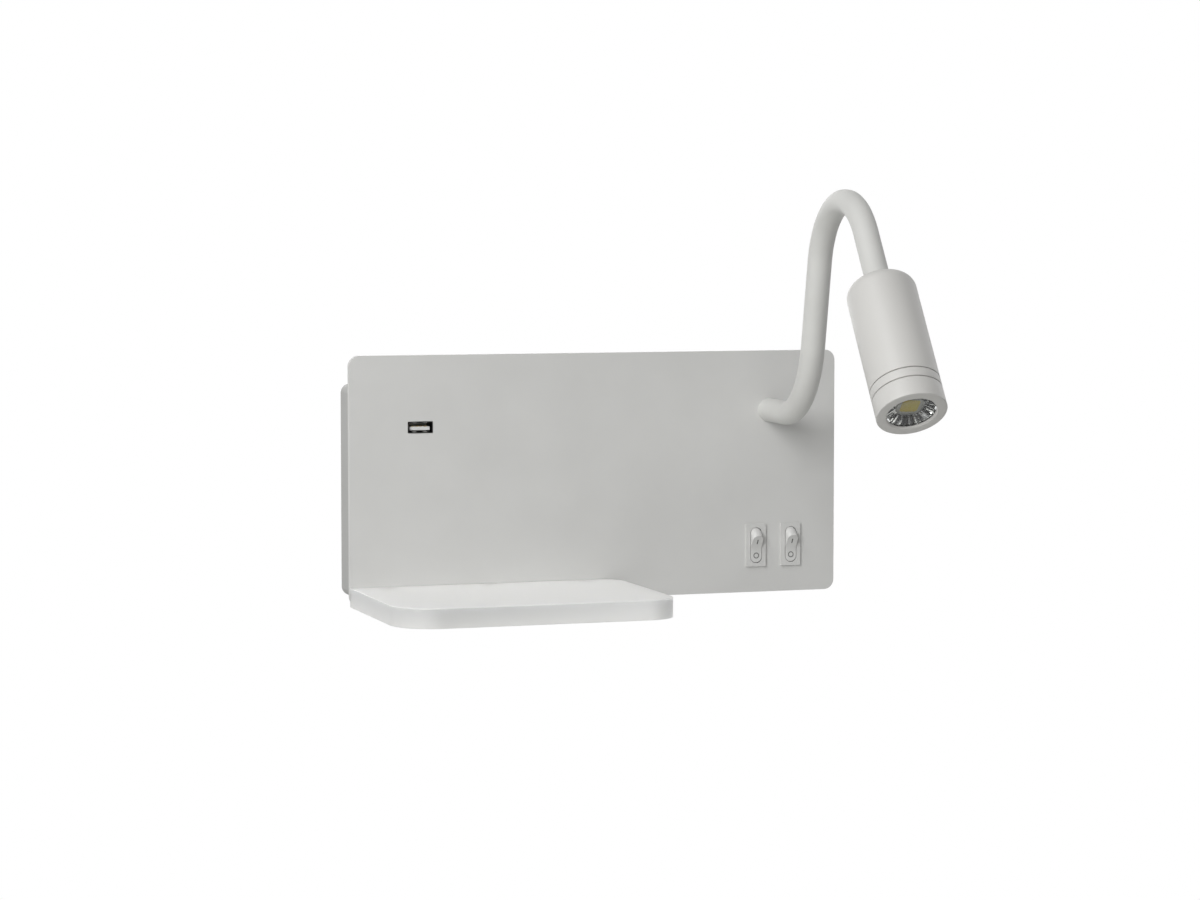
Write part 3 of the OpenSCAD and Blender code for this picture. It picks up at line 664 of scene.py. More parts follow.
class Looks(Enum):
    """Every finish on the lamp, under a maker's name for it."""

    # Powder coat on sheet steel: light grey with a broad soft highlight
    PLATE_COAT = PowderCoat("matt_powder_coat", "#C8C8C6", 0.55)
    # The housing's sheet: the plate's powder, painted darker as painted shade for the plate's
    # shadow on it
    HOUSING_COAT_PAINTED_SHADE = PowderCoat(
        "matt_powder_coat_painted_shade", "#A4A4A2", 0.6, shade_low="#A2A2A0", shade_high="#A7A7A5"
    )
    # The turned aluminium's coat, a little smoother: its highlight runs along the head
    HEAD_COAT = PowderCoat(
        "matt_powder_coat_head", "#C1C0BD", 0.5, shade_low="#BFBEBB", shade_high="#C3C2BF"
    )
    # Extruded silicone, talced: light grey without a clear highlight
    SKIN = SiliconeSkin("silicone_skin", "#C5C5C2", 0.62, ior=1.42)
    # Cast acrylic, blasted: white and milky, light passes into it and comes out near by; its cut
    # edges carry painted shade, greyer at the top and towards the lamp's left, and painted light,
    # paler at their foot
    SHELF = FrostedAcrylic(
        "blasted_cast_acrylic_painted_edges",
        "#F4F4F2",
        0.42,
        ior=1.49,
        edge="#D9DAD9",
        edge_foot_painted_light="#F4F4F2",
        left_end_painted_shade="#DDDDDD",
        bottom_mm=-65.0,
        glow=0.85,
        depth_mm=12.0,
    )
    # Extruded opal polycarbonate: an even milky white, its cut edges painted a little greyer as
    # painted shade
    DIFFUSER = FrostedAcrylic(
        "opal_polycarbonate",
        "#F1F1EE",
        0.5,
        ior=1.58,
        edge="#EBEBE8",
        edge_foot_painted_light="#EBEBE8",
        depth_mm=2.0,
    )
    # Moulded ABS in the plate's grey: a fine satin
    SWITCH = MouldedPlastic("abs_switch_grey", "#C6C6C4", 0.42, second="#CACAC8")
    # The same from a smoother tool: the fingers' side is a little glossier
    ROCKER = MouldedPlastic("abs_rocker_grey", "#CACAC8", 0.36, second="#CECECC")
    # Pad printing ink: a flat dark grey
    MARK = MouldedPlastic("printing_ink_grey", "#565656", 0.5, second="#5C5C5C")
    # Moulded silicone rubber: dark grey and dull
    GASKET = MouldedPlastic(
        "silicone_rubber_grey", "#3A3A3A", 0.7, second="#424242", grain_mm=0.8
    )
    # Moulded rubber: black, dull and coarser in its grain
    RUBBER = MouldedPlastic(
        "moulded_black_rubber", "#1C1C1C", 0.75, second="#242424", grain_mm=0.8, height_mm=0.03
    )
    # Moulded polyamide in its natural colour: a waxy ivory
    IVORY = MouldedPlastic("polyamide_ivory", "#DCD8C6", 0.45, second="#E1DDCC")
    # Moulded ABS: plain white satin
    WHITE = MouldedPlastic("abs_white", "#E4E4E1", 0.45, second="#E8E8E5")
    # Moulded liquid crystal polymer: white, hard and faintly grained
    TONGUE = MouldedPlastic("lcp_white", "#DCDCDA", 0.4, second="#E1E1DF", grain_mm=0.4)
    # Moulded ABS: mid grey satin
    GREY = MouldedPlastic("abs_grey", "#868686", 0.5, second="#8C8C8C")
    # Extruded PVC: a soft white sheath
    SHEATH = MouldedPlastic("pvc_sheath_white", "#D8D8D4", 0.48, second="#DDDDD9")
    # White lacquer on a flexible circuit, with the lamps' yellow cast
    STRIP = MouldedPlastic("strip_board_white", "#E6E4D8", 0.4, second="#EAE8DD")
    # Poured silicone with phosphor: a strong dull yellow while the light is off
    LIGHT = Phosphor("phosphor_pad", "#BEA81C", 0.4, ior=1.41)
    # Pressed and fired alumina: a chalky light grey
    CERAMIC = MouldedPlastic("alumina_ceramic", "#9A9892", 0.45, second="#A09E98")
    # Lacquered glass fibre board: deep green and glossy
    BOARD = SolderMask("solder_mask_green", "#0E4526", 0.25)
    # Zinc-plated sheet steel: cool grey with a faint spangle
    ZINC = PlatedSheet(
        "zinc_plated_steel", "#A9AEB1", 0.4, 1.0, spangle_mm=3.0, second="#B5B9BB"
    )
    # Zinc-plated screws: brighter, and too small for more than specks of spangle
    SCREW = PlatedSheet("zinc_plated_screw", "#B0B4B6", 0.3, 1.0, spangle_mm=1.2)
    # Nickel-plated sheet: a thin grey rim, and painted shade that makes the mouth dark behind it
    SHELL_PAINTED_SHADE = MouthSheet("nickel_plated_sheet_painted_shade", "#343433", 0.38, 1.0, second="#0A0A0A")
    # Nickel-plated spring steel: a warm light grey
    SPRING = PlatedSheet(
        "nickel_plated_spring", "#B9B9B5", 0.34, 1.0, spangle_mm=1.5, second="#C4C4C0"
    )
    # Gold-plated contacts, wiped by plugs: pale yellow and bright
    GOLD = TurnedMetal("gold_plated_contact", "#D9B765", 0.22, 1.0)
    # Turned brass: deeper yellow with feed marks
    BRASS = TurnedMetal("turned_brass", "#C9A45A", 0.3, 1.0)
    # Turned aluminium, bare: light grey with feed marks
    ALUMINIUM = TurnedMetal("turned_aluminium", "#C4C6C8", 0.34, 1.0)
    # Metallised plastic: a mirror, its flutes painted with bright, middling and dark reflections
    # of a room.
    # The tool's marks are drawn at 0.6 mm, far coarser than they are, so that they show
    MIRROR_PAINTED_BRIGHT = TurnedMetal("metallised_flute_painted_bright_reflection", "#FCFCFA", 0.06, 1.0, feed_mm=0.6)
    MIRROR_PAINTED_MID = TurnedMetal("metallised_flute_painted_middle_reflection", "#BCBCBE", 0.12, 1.0, feed_mm=0.6)
    MIRROR_PAINTED_DARK = TurnedMetal("metallised_flute_painted_dark_reflection", "#58585A", 0.14, 1.0, feed_mm=0.6)
    # Acrylic from a polished tool: the light source and the cup show through it
    LENS = ClearAcrylic("clear_moulded_acrylic", "#F8FAF9", 0.02, ior=1.49)


# ---------------------------------------------------------------- meshes


def settle(
    made: bpy.types.Object, body: str, stands_for: str = ""
) -> bpy.types.Object:
    """Says what a piece rides on and what it replaces.

    Args:
        made: The piece.
        body: The CAD body that it rides on.
        stands_for: The CAD node that it stands for, if it does.

    Returns:
        The piece.
    """
    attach(made, body)
    if stands_for:
        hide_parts(stands_for)
    return made


def link(name: str, data: bpy.types.ID) -> bpy.types.Object:
    """Puts a new object into the scene.

    Args:
        name: The object's name.
        data: Its mesh, curve, camera or lamp data.

    Returns:
        The object.
    """
    made = bpy.data.objects.new(name, data)
    bpy.context.scene.collection.objects.link(made)
    return made


def polar(radius: float, angle: float, height: float = 0.0) -> Vector:
    """Point at a radius, an angle and a height, all in millimetres, as a vector in metres."""
    return Vector((radius * math.cos(angle), radius * math.sin(angle), height)) * MM


def loop_faces(rows: int, n: int, base: int = 0) -> list[list[int]]:
    """Faces between closed loops of points that follow one another.

    Args:
        rows: How many rows of faces there are, one fewer than the loops.
        n: Points in each loop.
        base: Number of the first point.

    Returns:
        Point numbers of each face.
    """
    faces = []
    for i in range(rows):
        for k in range(n):
            a, b = base + i * n + k, base + i * n + (k + 1) % n
            faces.append([a, b, b + n, a + n])
    return faces


def make_piece(
    name: str,
    verts: Sequence[Sequence[float]],
    faces: Sequence[Sequence[int]],
    look: Looks,
    sharp_deg: float = SHARP_DEG,
    weld: bool = True,
) -> bpy.types.Object:
    """Makes a mesh piece in the frame.

    Args:
        name: The piece's name.
        verts: Points in metres.
        faces: Point numbers of each face.
        look: Its finish.
        sharp_deg: Edges sharper than this stay sharp.
        weld: Whether points in one place become one.

    Returns:
        The new object.
    """
    mesh = bpy.data.meshes.new(name)
    mesh.from_pydata([tuple(v) for v in verts], [], [tuple(f) for f in faces])
    if weld:
        work = bmesh.new()
        work.from_mesh(mesh)
        bmesh.ops.remove_doubles(work, verts=work.verts, dist=SAME_POINT)
        bmesh.ops.recalc_face_normals(work, faces=work.faces)
        work.to_mesh(mesh)
        work.free()
    mesh.shade_smooth()
    mesh.set_sharp_from_angle(angle=math.radians(sharp_deg))
    mesh.materials.append(look.value.material())
    return link(name, mesh)


def soften(
    points: Sequence[Point2], radii: float | Sequence[float], steps: int = 5
) -> list[Point2]:
    """Rounds the corners of a closed outline.

    Args:
        points: The outline's corners.
        radii: One radius for all corners, or one for each.
        steps: Points on each rounded corner.

    Returns:
        The outline with its rounded corners.
    """
    each = [radii] * len(points) if isinstance(radii, (int, float)) else list(radii)
    out: list[Point2] = []
    for i, corner in enumerate(points):
        here = Vector(corner)
        before, after = Vector(points[i - 1]), Vector(points[(i + 1) % len(points)])
        back, ahead = before - here, after - here
        if each[i] <= 0 or min(back.length, ahead.length) < NO_LENGTH:
            out.append(tuple(here))
            continue
        half = back.angle(ahead) / 2
        if abs(half - math.pi / 2) < STRAIGHT:
            out.append(tuple(here))
            continue
        most = MOST_OF_SIDE * min(back.length, ahead.length)
        reach = min(each[i] / math.tan(half), most)
        radius = reach * math.tan(half)
        centre = here + (back.normalized() + ahead.normalized()).normalized() * (
            radius / math.sin(half)
        )
        start = here + back.normalized() * reach - centre
        end = here + ahead.normalized() * reach - centre
        sweep = start.angle_signed(end)
        for k in range(steps + 1):
            turned = start.copy()
            turned.rotate(Matrix.Rotation(-sweep * k / steps, 2))
            out.append(tuple(centre + turned))
    return out


def revolve(
    profile: Sequence[Point2], place: Matrix, sides: int = 96
) -> tuple[list[Vector], list[list[int]]]:
    """Turns a closed profile about the local Z axis.

    Args:
        profile: Points as (radius, height) in millimetres.
        place: Where the local frame stands, in metres.
        sides: Facets round the axis.

    Returns:
        Points and faces.
    """
    verts, faces = [], []
    for i in range(sides):
        a = 2 * math.pi * i / sides
        for r, z in profile:
            verts.append(place @ polar(r, a, z))
    n = len(profile)
    for i in range(sides):
        j = (i + 1) % sides
        for k in range(n):
            m = (k + 1) % n
            if max(profile[k][0], profile[m][0]) < NO_LENGTH:
                continue
            faces.append([i * n + k, j * n + k, j * n + m, i * n + m])
    return verts, faces


def turned(
    name: str, profile: Sequence[Point2], place: Matrix, look: Looks, sides: int = 96
) -> bpy.types.Object:
    """Makes a turned piece from its closed profile.

    Args:
        name: The piece's name.
        profile: Points as (radius, height) in millimetres.
        place: Where the local frame stands, in metres.
        look: Its finish.
        sides: Facets round the axis.

    Returns:
        The new object.
    """
    verts, faces = revolve(profile, place, sides)
    return make_piece(name, verts, faces, look)


def dress(node: str, look: Looks, edge_mm: float = 0.0, steps: int = 2) -> None:
    """Gives a CAD node its finish and, where it is asked for, softens its edges.

    Args:
        node: The CAD node's name.
        look: Its finish.
        edge_mm: Width of the softened edges, or 0 for none.
        steps: Facets across a softened edge.
    """
    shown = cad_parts[node]
    shown.data.materials.clear()
    shown.data.materials.append(look.value.material())
    if edge_mm:
        weld = shown.modifiers.new("weld", "WELD")
        weld.merge_threshold = SAME_CAD_POINT
        flat = shown.modifiers.new("flat", "DECIMATE")
        flat.decimate_type = "DISSOLVE"
        flat.angle_limit = math.radians(FLAT_DEG)
        edge = shown.modifiers.new("edge", "BEVEL")
        edge.width = edge_mm * MM
        edge.segments = steps
        edge.limit_method = "ANGLE"
        edge.angle_limit = math.radians(SHARP_DEG)
        # weighted normals keep the broad faces flat right up to the softened edges
        even = shown.modifiers.new("even", "WEIGHTED_NORMAL")
        even.mode = "FACE_AREA"


# ---------------------------------------------------------------- sub-assemblies


@dataclass
class ArmPath:
    """The flexible arm's centre line: out, up, straight, over and down to the head."""

    root: tuple[float, float, float] = (97.0, -38.0, 33.0)
    root_l: float = 8.0
    end_l: float = 6.0
    out: float = 26.5
    rise_r: float = 47.0
    rise_deg: float = 77.0
    rise_l: float = 44.5
    arch_r: float = 40.0
    head_deg: float = 52.0
    drop_l: float = 32.0
    swing_deg: float = -3.8
    # The swing begins this far from the plate and is complete this much further on
    swing_from: float = 3.0
    swing_over: float = 10.0
    links: int = 18

    def __post_init__(self) -> None:
        """Works out where each stretch of the path begins."""
        self.rise_s = self.out
        self.riser_s = self.rise_s + self.rise_r * math.radians(self.rise_deg)
        self.arch_s = self.riser_s + self.rise_l
        self.drop_s = self.arch_s + self.arch_r * math.radians(
            self.rise_deg + self.head_deg
        )
        self.length = self.drop_s + self.drop_l
        self.pitch = (self.length - self.end_l - self.root_l) / self.links

    def heading(self, s: float) -> float:
        """Angle of the arm up from level.

        Args:
            s: Distance along the arm in millimetres.

        Returns:
            The angle in radians.
        """
        rise, head = math.radians(self.rise_deg), math.radians(self.head_deg)
        if s < self.rise_s:
            return 0.0
        if s < self.riser_s:
            return (s - self.rise_s) / self.rise_r
        if s < self.arch_s:
            return rise
        if s < self.drop_s:
            return rise - (s - self.arch_s) / self.arch_r
        return -head

    def flat_point(self, s: float) -> Vector:
        """Point in the arm's own plane.

        Args:
            s: Distance along the arm in millimetres.

        Returns:
            The point as (out, up) in millimetres.
        """
        rise, head = math.radians(self.rise_deg), math.radians(self.head_deg)
        a = self.heading(s)
        p_riser = Vector((self.rise_s, 0)) + self.rise_r * Vector(
            (math.sin(rise), 1 - math.cos(rise))
        )
        p_arch = p_riser + self.rise_l * Vector((math.cos(rise), math.sin(rise)))
        centre = p_arch + self.arch_r * Vector((math.sin(rise), -math.cos(rise)))
        if s < self.rise_s:
            return Vector((s, 0))
        if s < self.riser_s:
            return Vector((self.rise_s, 0)) + self.rise_r * Vector(
                (math.sin(a), 1 - math.cos(a))
            )
        if s < self.arch_s:
            return p_riser + (s - self.riser_s) * Vector((math.cos(rise), math.sin(rise)))
        if s < self.drop_s:
            return centre + self.arch_r * Vector((-math.sin(a), math.cos(a)))
        p_drop = centre + self.arch_r * Vector((math.sin(head), math.cos(head)))
        return p_drop + (s - self.drop_s) * Vector((math.cos(head), -math.sin(head)))

    def place(self, s: float) -> Matrix:
        """Local frame of the arm, with Z along it and X across its plane.

        Args:
            s: Distance along the arm in millimetres.

        Returns:
            The frame as a matrix in metres.
        """
        flat = self.flat_point(s)
        past = max(0.0, min(1.0, (s - self.swing_from) / self.swing_over))
        swing = math.radians(self.swing_deg)
        turn = swing * past * past * (3 - 2 * past)
        beyond = max(0.0, flat[0] - self.root_l)
        straight = min(flat[0], self.root_l)
        point = Vector(
            (
                self.root[0] + beyond * math.sin(swing),
                self.root[1] - straight - beyond * math.cos(swing),
                self.root[2] + flat[1],
            )
        )
        a = self.heading(s)
        across = Vector((math.cos(turn), math.sin(turn), 0))
        along = Vector(
            (math.cos(a) * math.sin(turn), -math.cos(a) * math.cos(turn), math.sin(a))
        )
        up = along.cross(across)
        made = Matrix((across, up, along)).transposed().to_4x4()
        made.translation = point * MM
        return made

    def seams(self) -> list[float]:
        """Distances between which the skin is cut, each in the middle of a stretch of tube."""
        middles = [self.root_l + (k + 0.5) * self.pitch for k in range(self.links)]
        return [0.0, *middles, self.length]

    def body(self, k: int) -> str:
        """Names the CAD body that holds the skin at a seam.

        Args:
            k: Number of the seam, counted from the plate.

        Returns:
            The body's name.
        """
        if k == 0:
            return "lamp"
        return "head" if k == self.links + 1 else f"arm_link_{k:02d}"


@dataclass
class FlexibleArm:
    """The flexible tube's skin and the lead in it, cut in the middle of each stiff stretch."""

    path: ArmPath
    tube_r: float = 6.25
    lead_r: float = 1.8
    rings: int = 18
    sides: int = 56
    lead_rings: int = 6
    lead_sides: int = 14
    joint_share: float = 0.6
    # The tube's two ends stay straight over this length
    held_l: float = 1.0

    def ring_place(self, low: float, high: float, t: float) -> Matrix:
        """Local frame of one ring of a stretch.

        Part of the stretch's bend is gathered round the joint in its middle, because that is
        where it bends when the arm moves.

        Args:
            low: Where the stretch begins along the arm in millimetres.
            high: Where it ends.
            t: The ring's share of the way between them.

        Returns:
            The frame as a matrix in metres.
        """
        place = self.path.place(low + (high - low) * t)
        bend = self.joint_share * (self.path.heading(high) - self.path.heading(low))
        shift = bend * (high - low) * (t**3 - t**4 / 2 - t * t / 2)
        turn = bend * (t * t * (3 - 2 * t) - t)
        return (
            Matrix.Translation(place.col[1].xyz * shift * MM)
            @ place
            @ Matrix.Rotation(-turn, 4, "X")
        )

    def stretch(
        self, name: str, k: int, radius: float, rings: int, sides: int, look: Looks
    ) -> bpy.types.Object:
        """Makes one stretch of skin.

        Args:
            name: The piece's name.
            k: Which stretch, counted from the plate.
            radius: Radius of the skin.
            rings: Rings along it.
            sides: Facets round it.
            look: Its finish.

        Returns:
            The new piece.
        """
        seams = self.path.seams()
        low, high = seams[k], seams[k + 1]
        verts: list[Vector] = []
        for i in range(rings + 1):
            place = self.ring_place(low, high, i / rings)
            verts += [place @ polar(radius, 2 * math.pi * j / sides) for j in range(sides)]
        made = make_piece(name, verts, loop_faces(rings, sides), look, weld=False)
        start = self.path.place(low + (0.0 if k else self.held_l)).translation
        end = self.path.place(high - (self.held_l if k == self.path.links else 0.0)).translation
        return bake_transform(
            made, self.path.body(k), self.path.body(k + 1), start=start, end=end
        )

    def build(self) -> None:
        """Makes the skin and the lead."""
        for k in range(self.path.links + 1):
            skin = self.stretch(
                f"arm_skin_{k:02d}", k, self.tube_r, self.rings, self.sides, Looks.SKIN
            )
            if k:
                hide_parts(f"arm_link_{k:02d}")
            lead = self.stretch(
                f"arm_lead_{k:02d}", k, self.lead_r, self.lead_rings, self.lead_sides, Looks.SHEATH
            )
        LOG.info("flexible arm: %d stretches of skin and lead", self.path.links + 1)


@dataclass
class ThreadedShank:
    """A threaded rod or tube with its thread cut as separate fine grooves."""

    radius: float
    bore: float
    pitch: float = 1.0
    depth: float = 0.45
    # Where the crest of each turn begins and ends, as shares of the pitch
    crest: tuple[float, float] = (0.35, 0.65)

    def profile(self, low: float, high: float) -> list[Point2]:
        """Closed profile between two heights.

        Args:
            low: Lower end in millimetres.
            high: Upper end.

        Returns:
            Points as (radius, height).
        """
        outer: list[Point2] = []
        z = low
        while z < high - 1e-6:
            top = min(z + self.pitch, high)
            outer.append((self.radius - self.depth, z))
            outer += [(self.radius, z + share * (top - z)) for share in self.crest]
            z = top
        outer.append((self.radius - self.depth, high))
        return [(self.bore, low), *outer, (self.bore, high)]


@dataclass
class ArmEnds:
    """The arm's two threaded ends with their nuts, in the plate and in the head."""

    path: ArmPath
    bore: float = 3.0
    shank_r: float = 5.0
    shank_l: float = 14.0
    neck_r: float = 4.0
    neck_l: float = 13.0
    # The neck begins this far behind the head's back
    neck_back: float = 2.0

    def build(self) -> None:
        """Makes both ends."""
        root = self.path.place(0.0) @ Matrix.Rotation(math.pi, 4, "X")
        shank = ThreadedShank(self.shank_r, self.bore).profile(0.0, self.shank_l)
        made = turned("arm_shank", shank, root, Looks.ZINC)
        settle(made, "lamp", "arm_root")
        head = self.path.place(self.path.length)
        neck = ThreadedShank(self.neck_r, self.bore).profile(-self.neck_back, self.neck_l)
        made = turned("head_shank", neck, head, Looks.ZINC)
        settle(made, "head", "head_neck")
        dress("gland_washer", Looks.ZINC, edge_mm=0.15)
        dress("gland_nut", Looks.BRASS, edge_mm=0.3)
        dress("neck_nut", Looks.BRASS, edge_mm=0.3)
        LOG.info("arm ends: shanks, washer and nuts")


@dataclass
class LampHead:
    """The cylindrical head: body, band and bezel, and the light source behind its lens."""

    path: ArmPath
    radius: float = 17.2
    length: float = 76.0
    back_r: float = 9.0
    neck_hole_r: float = 4.05
    hollow_r: float = 7.5
    bezel_l: float = 10.0
    band_l: float = 4.6
    groove: float = 0.6
    groove_depth: float = 0.9
    spigot_l: float = 3.0
    spigot_t: float = 0.6
    spigot_gap: float = 0.05
    wall: float = 2.2
    back_t: float = 3.5
    aperture_r: float = 12.0
    lip_t: float = 1.2
    lip_bevel: float = 0.6
    lens_t: float = 1.2
    lens_r: float = 14.0
    cone_l: float = 5.3
    cone_front_r: float = 12.2
    cone_back_r: float = 7.0
    seal_r: float = 12.6
    seal_t: float = 0.8
    cup_t: float = 1.0
    cup_rows: int = 3
    flutes: int = 72
    flute_depth: float = 0.15
    # The cup reaches this far into the lens's cone, so that its flutes show through the lens
    press: float = 0.05
    # Shares of flutes with middling and with dark painted reflections, above and below the lens's
    # middle and beside it
    middling_shares: tuple[float, float] = (1.0, 4.0)
    dark_shares: tuple[float, float] = (11.5, 1.5)
    # Share of flutes with a bright painted reflection above and below, and what is added beside
    # the middle: to the side of a flute that would mirror the bright room, and to its other side
    bright_share: float = 0.2
    lit_share: float = 90.0
    unlit_share: float = 4.0
    seed: int = 11
    chip_w: float = 12.0
    chip_corner: float = 0.6
    chip_t: float = 0.9
    chip_bevel: float = 0.1
    chip_rim: float = 0.8
    pad_inset: float = 1.8
    pad_corner: float = 1.5
    pad_t: float = 1.0
    # The pad's height, and how wide and how high its poured edge is
    pad_h: float = 0.3
    pad_edge: tuple[float, float] = (0.25, 0.08)
    board_gap: float = 1.2
    # Radii of the turned edges: at the grooves, at their roots, at the front rim, at the light
    # opening and on edges that a neighbour covers
    edge_r: float = 0.25
    root_r: float = 0.05
    rim_r: float = 0.45
    lip_r: float = 0.12
    fine_r: float = 0.1
    lens_edge_r: float = 0.2
    lens_tip_r: float = 0.15
    sides: int = 128

    def __post_init__(self) -> None:
        """Works out the heights of the parts from the head's back."""
        self.bezel_z = self.length - self.bezel_l
        self.band_z = self.bezel_z - self.groove - self.band_l
        self.body_l = self.band_z - self.groove
        self.inner = self.radius - self.wall
        self.lens_z = self.length - self.lip_t - self.lens_t
        self.cone_z = self.lens_z - self.cone_l
        self.board_z = self.cone_z - self.board_gap
        self.place = self.path.place(self.path.length)

    def add(
        self, name: str, profile: Sequence[Point2], look: Looks, slot: str, stands_for: str
    ) -> bpy.types.Object:
        """Makes one turned piece of the head in place of its CAD node.

        Args:
            name: The piece's name.
            profile: Points as (radius, height from the head's back) in millimetres.
            look: Its finish.
            slot: Its material slot; not used.
            stands_for: The CAD node.

        Returns:
            The piece.
        """
        made = turned(name, profile, self.place, look, self.sides)
        return settle(made, "head", stands_for)

    def shell(self) -> None:
        """Makes the body with its rounded back, the band and the bezel."""
        r, inner = self.radius, self.inner
        body = soften(
            [
                (self.neck_hole_r, 0.0),
                (r, 0.0),
                (r, self.body_l),
                (inner, self.body_l),
                (inner, self.back_t),
                (self.neck_hole_r, self.back_t),
            ],
            [0.0, self.back_r, self.edge_r, self.fine_r, self.hollow_r, 0.0],
            steps=14,
        )
        self.add("head_shell", body, Looks.HEAD_COAT, "satin_paint", "head_body")
        spigot = r - self.groove_depth
        bore = inner - self.spigot_t
        join = inner - self.spigot_gap
        groove_edges = [self.root_r, self.edge_r, self.edge_r, self.root_r]
        band = soften(
            [
                (bore, self.body_l - self.spigot_l),
                (join, self.body_l - self.spigot_l),
                (join, self.body_l),
                (spigot, self.body_l),
                (spigot, self.band_z),
                (r, self.band_z),
                (r, self.bezel_z - self.groove),
                (spigot, self.bezel_z - self.groove),
                (spigot, self.bezel_z),
                (join, self.bezel_z),
                (join, self.bezel_z + self.spigot_l),
                (bore, self.bezel_z + self.spigot_l),
            ],
            [0, 0, 0, 0, *groove_edges, 0, 0, 0, 0],
            steps=4,
        )
        self.add("head_ring", band, Looks.HEAD_COAT, "satin_paint", "head_band")
        lip = self.length - self.lip_t
        bezel = soften(
            [
                (inner, self.bezel_z),
                (r, self.bezel_z),
                (r, self.length),
                (self.aperture_r + self.lip_bevel, self.length),
                (self.aperture_r, self.length - self.lip_bevel),
                (self.aperture_r, lip),
                (inner, lip),
            ],
            [self.fine_r, self.edge_r, self.rim_r, self.lip_r, self.lip_r, self.fine_r, 0.0],
            steps=5,
        )
        self.add("head_rim", bezel, Looks.HEAD_COAT, "satin_paint", "head_bezel")

    def painted_reflection_tones(self) -> list[int]:
        """Chooses the painted reflection on each flute.

        On one side of each flute a bright painted reflection of the room goes mostly to the head's
        left and right, and above and below the flutes are mostly painted dark.

        Returns:
            For each flute 0 for a middling, 1 for a bright and 2 for a dark painted reflection.
        """
        chance = random.Random(self.seed)
        tones = []
        for k in range(self.flutes):
            side = abs(math.cos(2 * math.pi * (k + 0.5) / self.flutes))
            middling, middling_side = self.middling_shares
            dark, dark_side = self.dark_shares
            shares = (
                middling + (middling_side - middling) * side,
                self.bright_share + (self.lit_share if k % 2 else self.unlit_share) * side**3,
                dark_side + (dark - dark_side) * (1 - side),
            )
            tones.append(chance.choices((0, 1, 2), shares)[0])
        return tones

    def reflector(self) -> None:
        """Makes the reflector as rows of flat flutes inside a thin turned shell, each flute
        painted with a bright, middling or dark reflection.
        """
        rows, n = self.cup_rows, self.flutes
        low, high = self.cone_z, self.lens_z - self.seal_t
        widening = (self.cone_front_r - self.cone_back_r) * (high - low) / self.cone_l
        verts: list[Vector] = []
        for shell in (0, 1):
            for i in range(rows + 1):
                t = i / rows
                r = self.cone_back_r + widening * t
                r += self.cup_t * shell - self.flute_depth - self.press
                if shell and i == rows:
                    r = self.lens_r
                for k in range(n):
                    # every second edge lies a little deeper, so that the flutes are flat vees
                    out = r + (self.flute_depth if k % 2 and not shell else 0.0)
                    flute = polar(out, 2 * math.pi * k / n, low + t * (high - low))
                    verts.append(self.place @ flute)
        outer = (rows + 1) * n
        faces = loop_faces(rows, n) + loop_faces(rows, n, outer)
        for row in (0, rows):
            for k in range(n):
                a, b = row * n + k, row * n + (k + 1) % n
                faces.append([a, b, b + outer, a + outer])
        made = make_piece("fluted_reflector", verts, faces, Looks.MIRROR_PAINTED_MID, sharp_deg=2.0)
        for look in (Looks.MIRROR_PAINTED_BRIGHT, Looks.MIRROR_PAINTED_DARK):
            made.data.materials.append(look.value.material())
        tones = self.painted_reflection_tones()
        back = self.place.inverted()
        for face in made.data.polygons:
            at = back @ face.center
            share = math.atan2(at.y, at.x) / (2 * math.pi)
            # each flute takes a painted reflection: bright, middling or dark
            face.material_index = tones[math.floor(share * n) % n]
        settle(made, "head", "reflector")

    def light(self) -> None:
        """Makes the lens, its gasket and the square light source on its board."""
        z = self.lens_z
        lens = soften(
            [
                (0.0, self.cone_z),
                (self.cone_back_r, self.cone_z),
                (self.cone_front_r, z),
                (self.lens_r, z),
                (self.lens_r, z + self.lens_t),
                (0.0, z + self.lens_t),
            ],
            [0, self.lens_tip_r, self.fine_r, self.lens_edge_r, self.lens_edge_r, 0],
            steps=3,
        )
        clear = self.add("solid_lens", lens, Looks.LENS, "clear_glass", "head_lens")
        # clear plastic hardly shades what lies behind it
        clear.visible_shadow = False
        back = z - self.seal_t
        seal = [(self.seal_r, back), (self.lens_r, back), (self.lens_r, z), (self.seal_r, z)]
        seal = soften(seal, self.lens_edge_r, steps=3)
        self.add("lens_seal", seal, Looks.GASKET, "black_rubber", "lens_gasket")
        half = self.chip_w / 2
        top = self.board_z + self.chip_t
        bevel = self.chip_bevel
        chip = [(0.0, self.board_z), (0.0, top - bevel), (bevel, top), (self.chip_rim, top)]
        made = self.pad("light_chip", half, self.chip_corner, chip, Looks.CERAMIC)
        settle(made, "head")
        top = self.board_z + self.pad_t
        width, height = self.pad_edge
        glow = [(0.0, top - self.pad_h), (0.0, top - height), (width, top)]
        made = self.pad("light_pad", half - self.pad_inset, self.pad_corner, glow, Looks.LIGHT)
        settle(made, "head", "cob_led")

    def pad(
        self, name: str, half: float, corner: float, layers: Sequence[Point2], look: Looks
    ) -> bpy.types.Object:
        """Makes a square piece with round corners, in layers from the board up.

        Args:
            name: The piece's name.
            half: Half its side.
            corner: Radius of its corners.
            layers: Each layer's inset from the side and its height.
            look: Its finish.

        Returns:
            The new piece.
        """
        verts: list[Vector] = []
        for inset, z in layers:
            h = half - inset
            square = [(-h, -h), (h, -h), (h, h), (-h, h)]
            loop = soften(square, max(corner - inset, self.fine_r))
            verts += [self.place @ (Vector((x, y, z)) * MM) for x, y in loop]
        n = len(verts) // len(layers)
        faces = loop_faces(len(layers) - 1, n)
        faces += [list(range(n)), list(range(len(verts) - n, len(verts)))]
        return make_piece(name, verts, faces, look)

    def build(self) -> None:
        """Makes the whole head."""
        self.shell()
        self.reflector()
        self.light()
        dress("cob_board", Looks.WHITE, edge_mm=0.2)
        dress("heat_sink", Looks.ALUMINIUM, edge_mm=0.3)
        LOG.info("head: shell, ring, rim, reflector, lens and light")


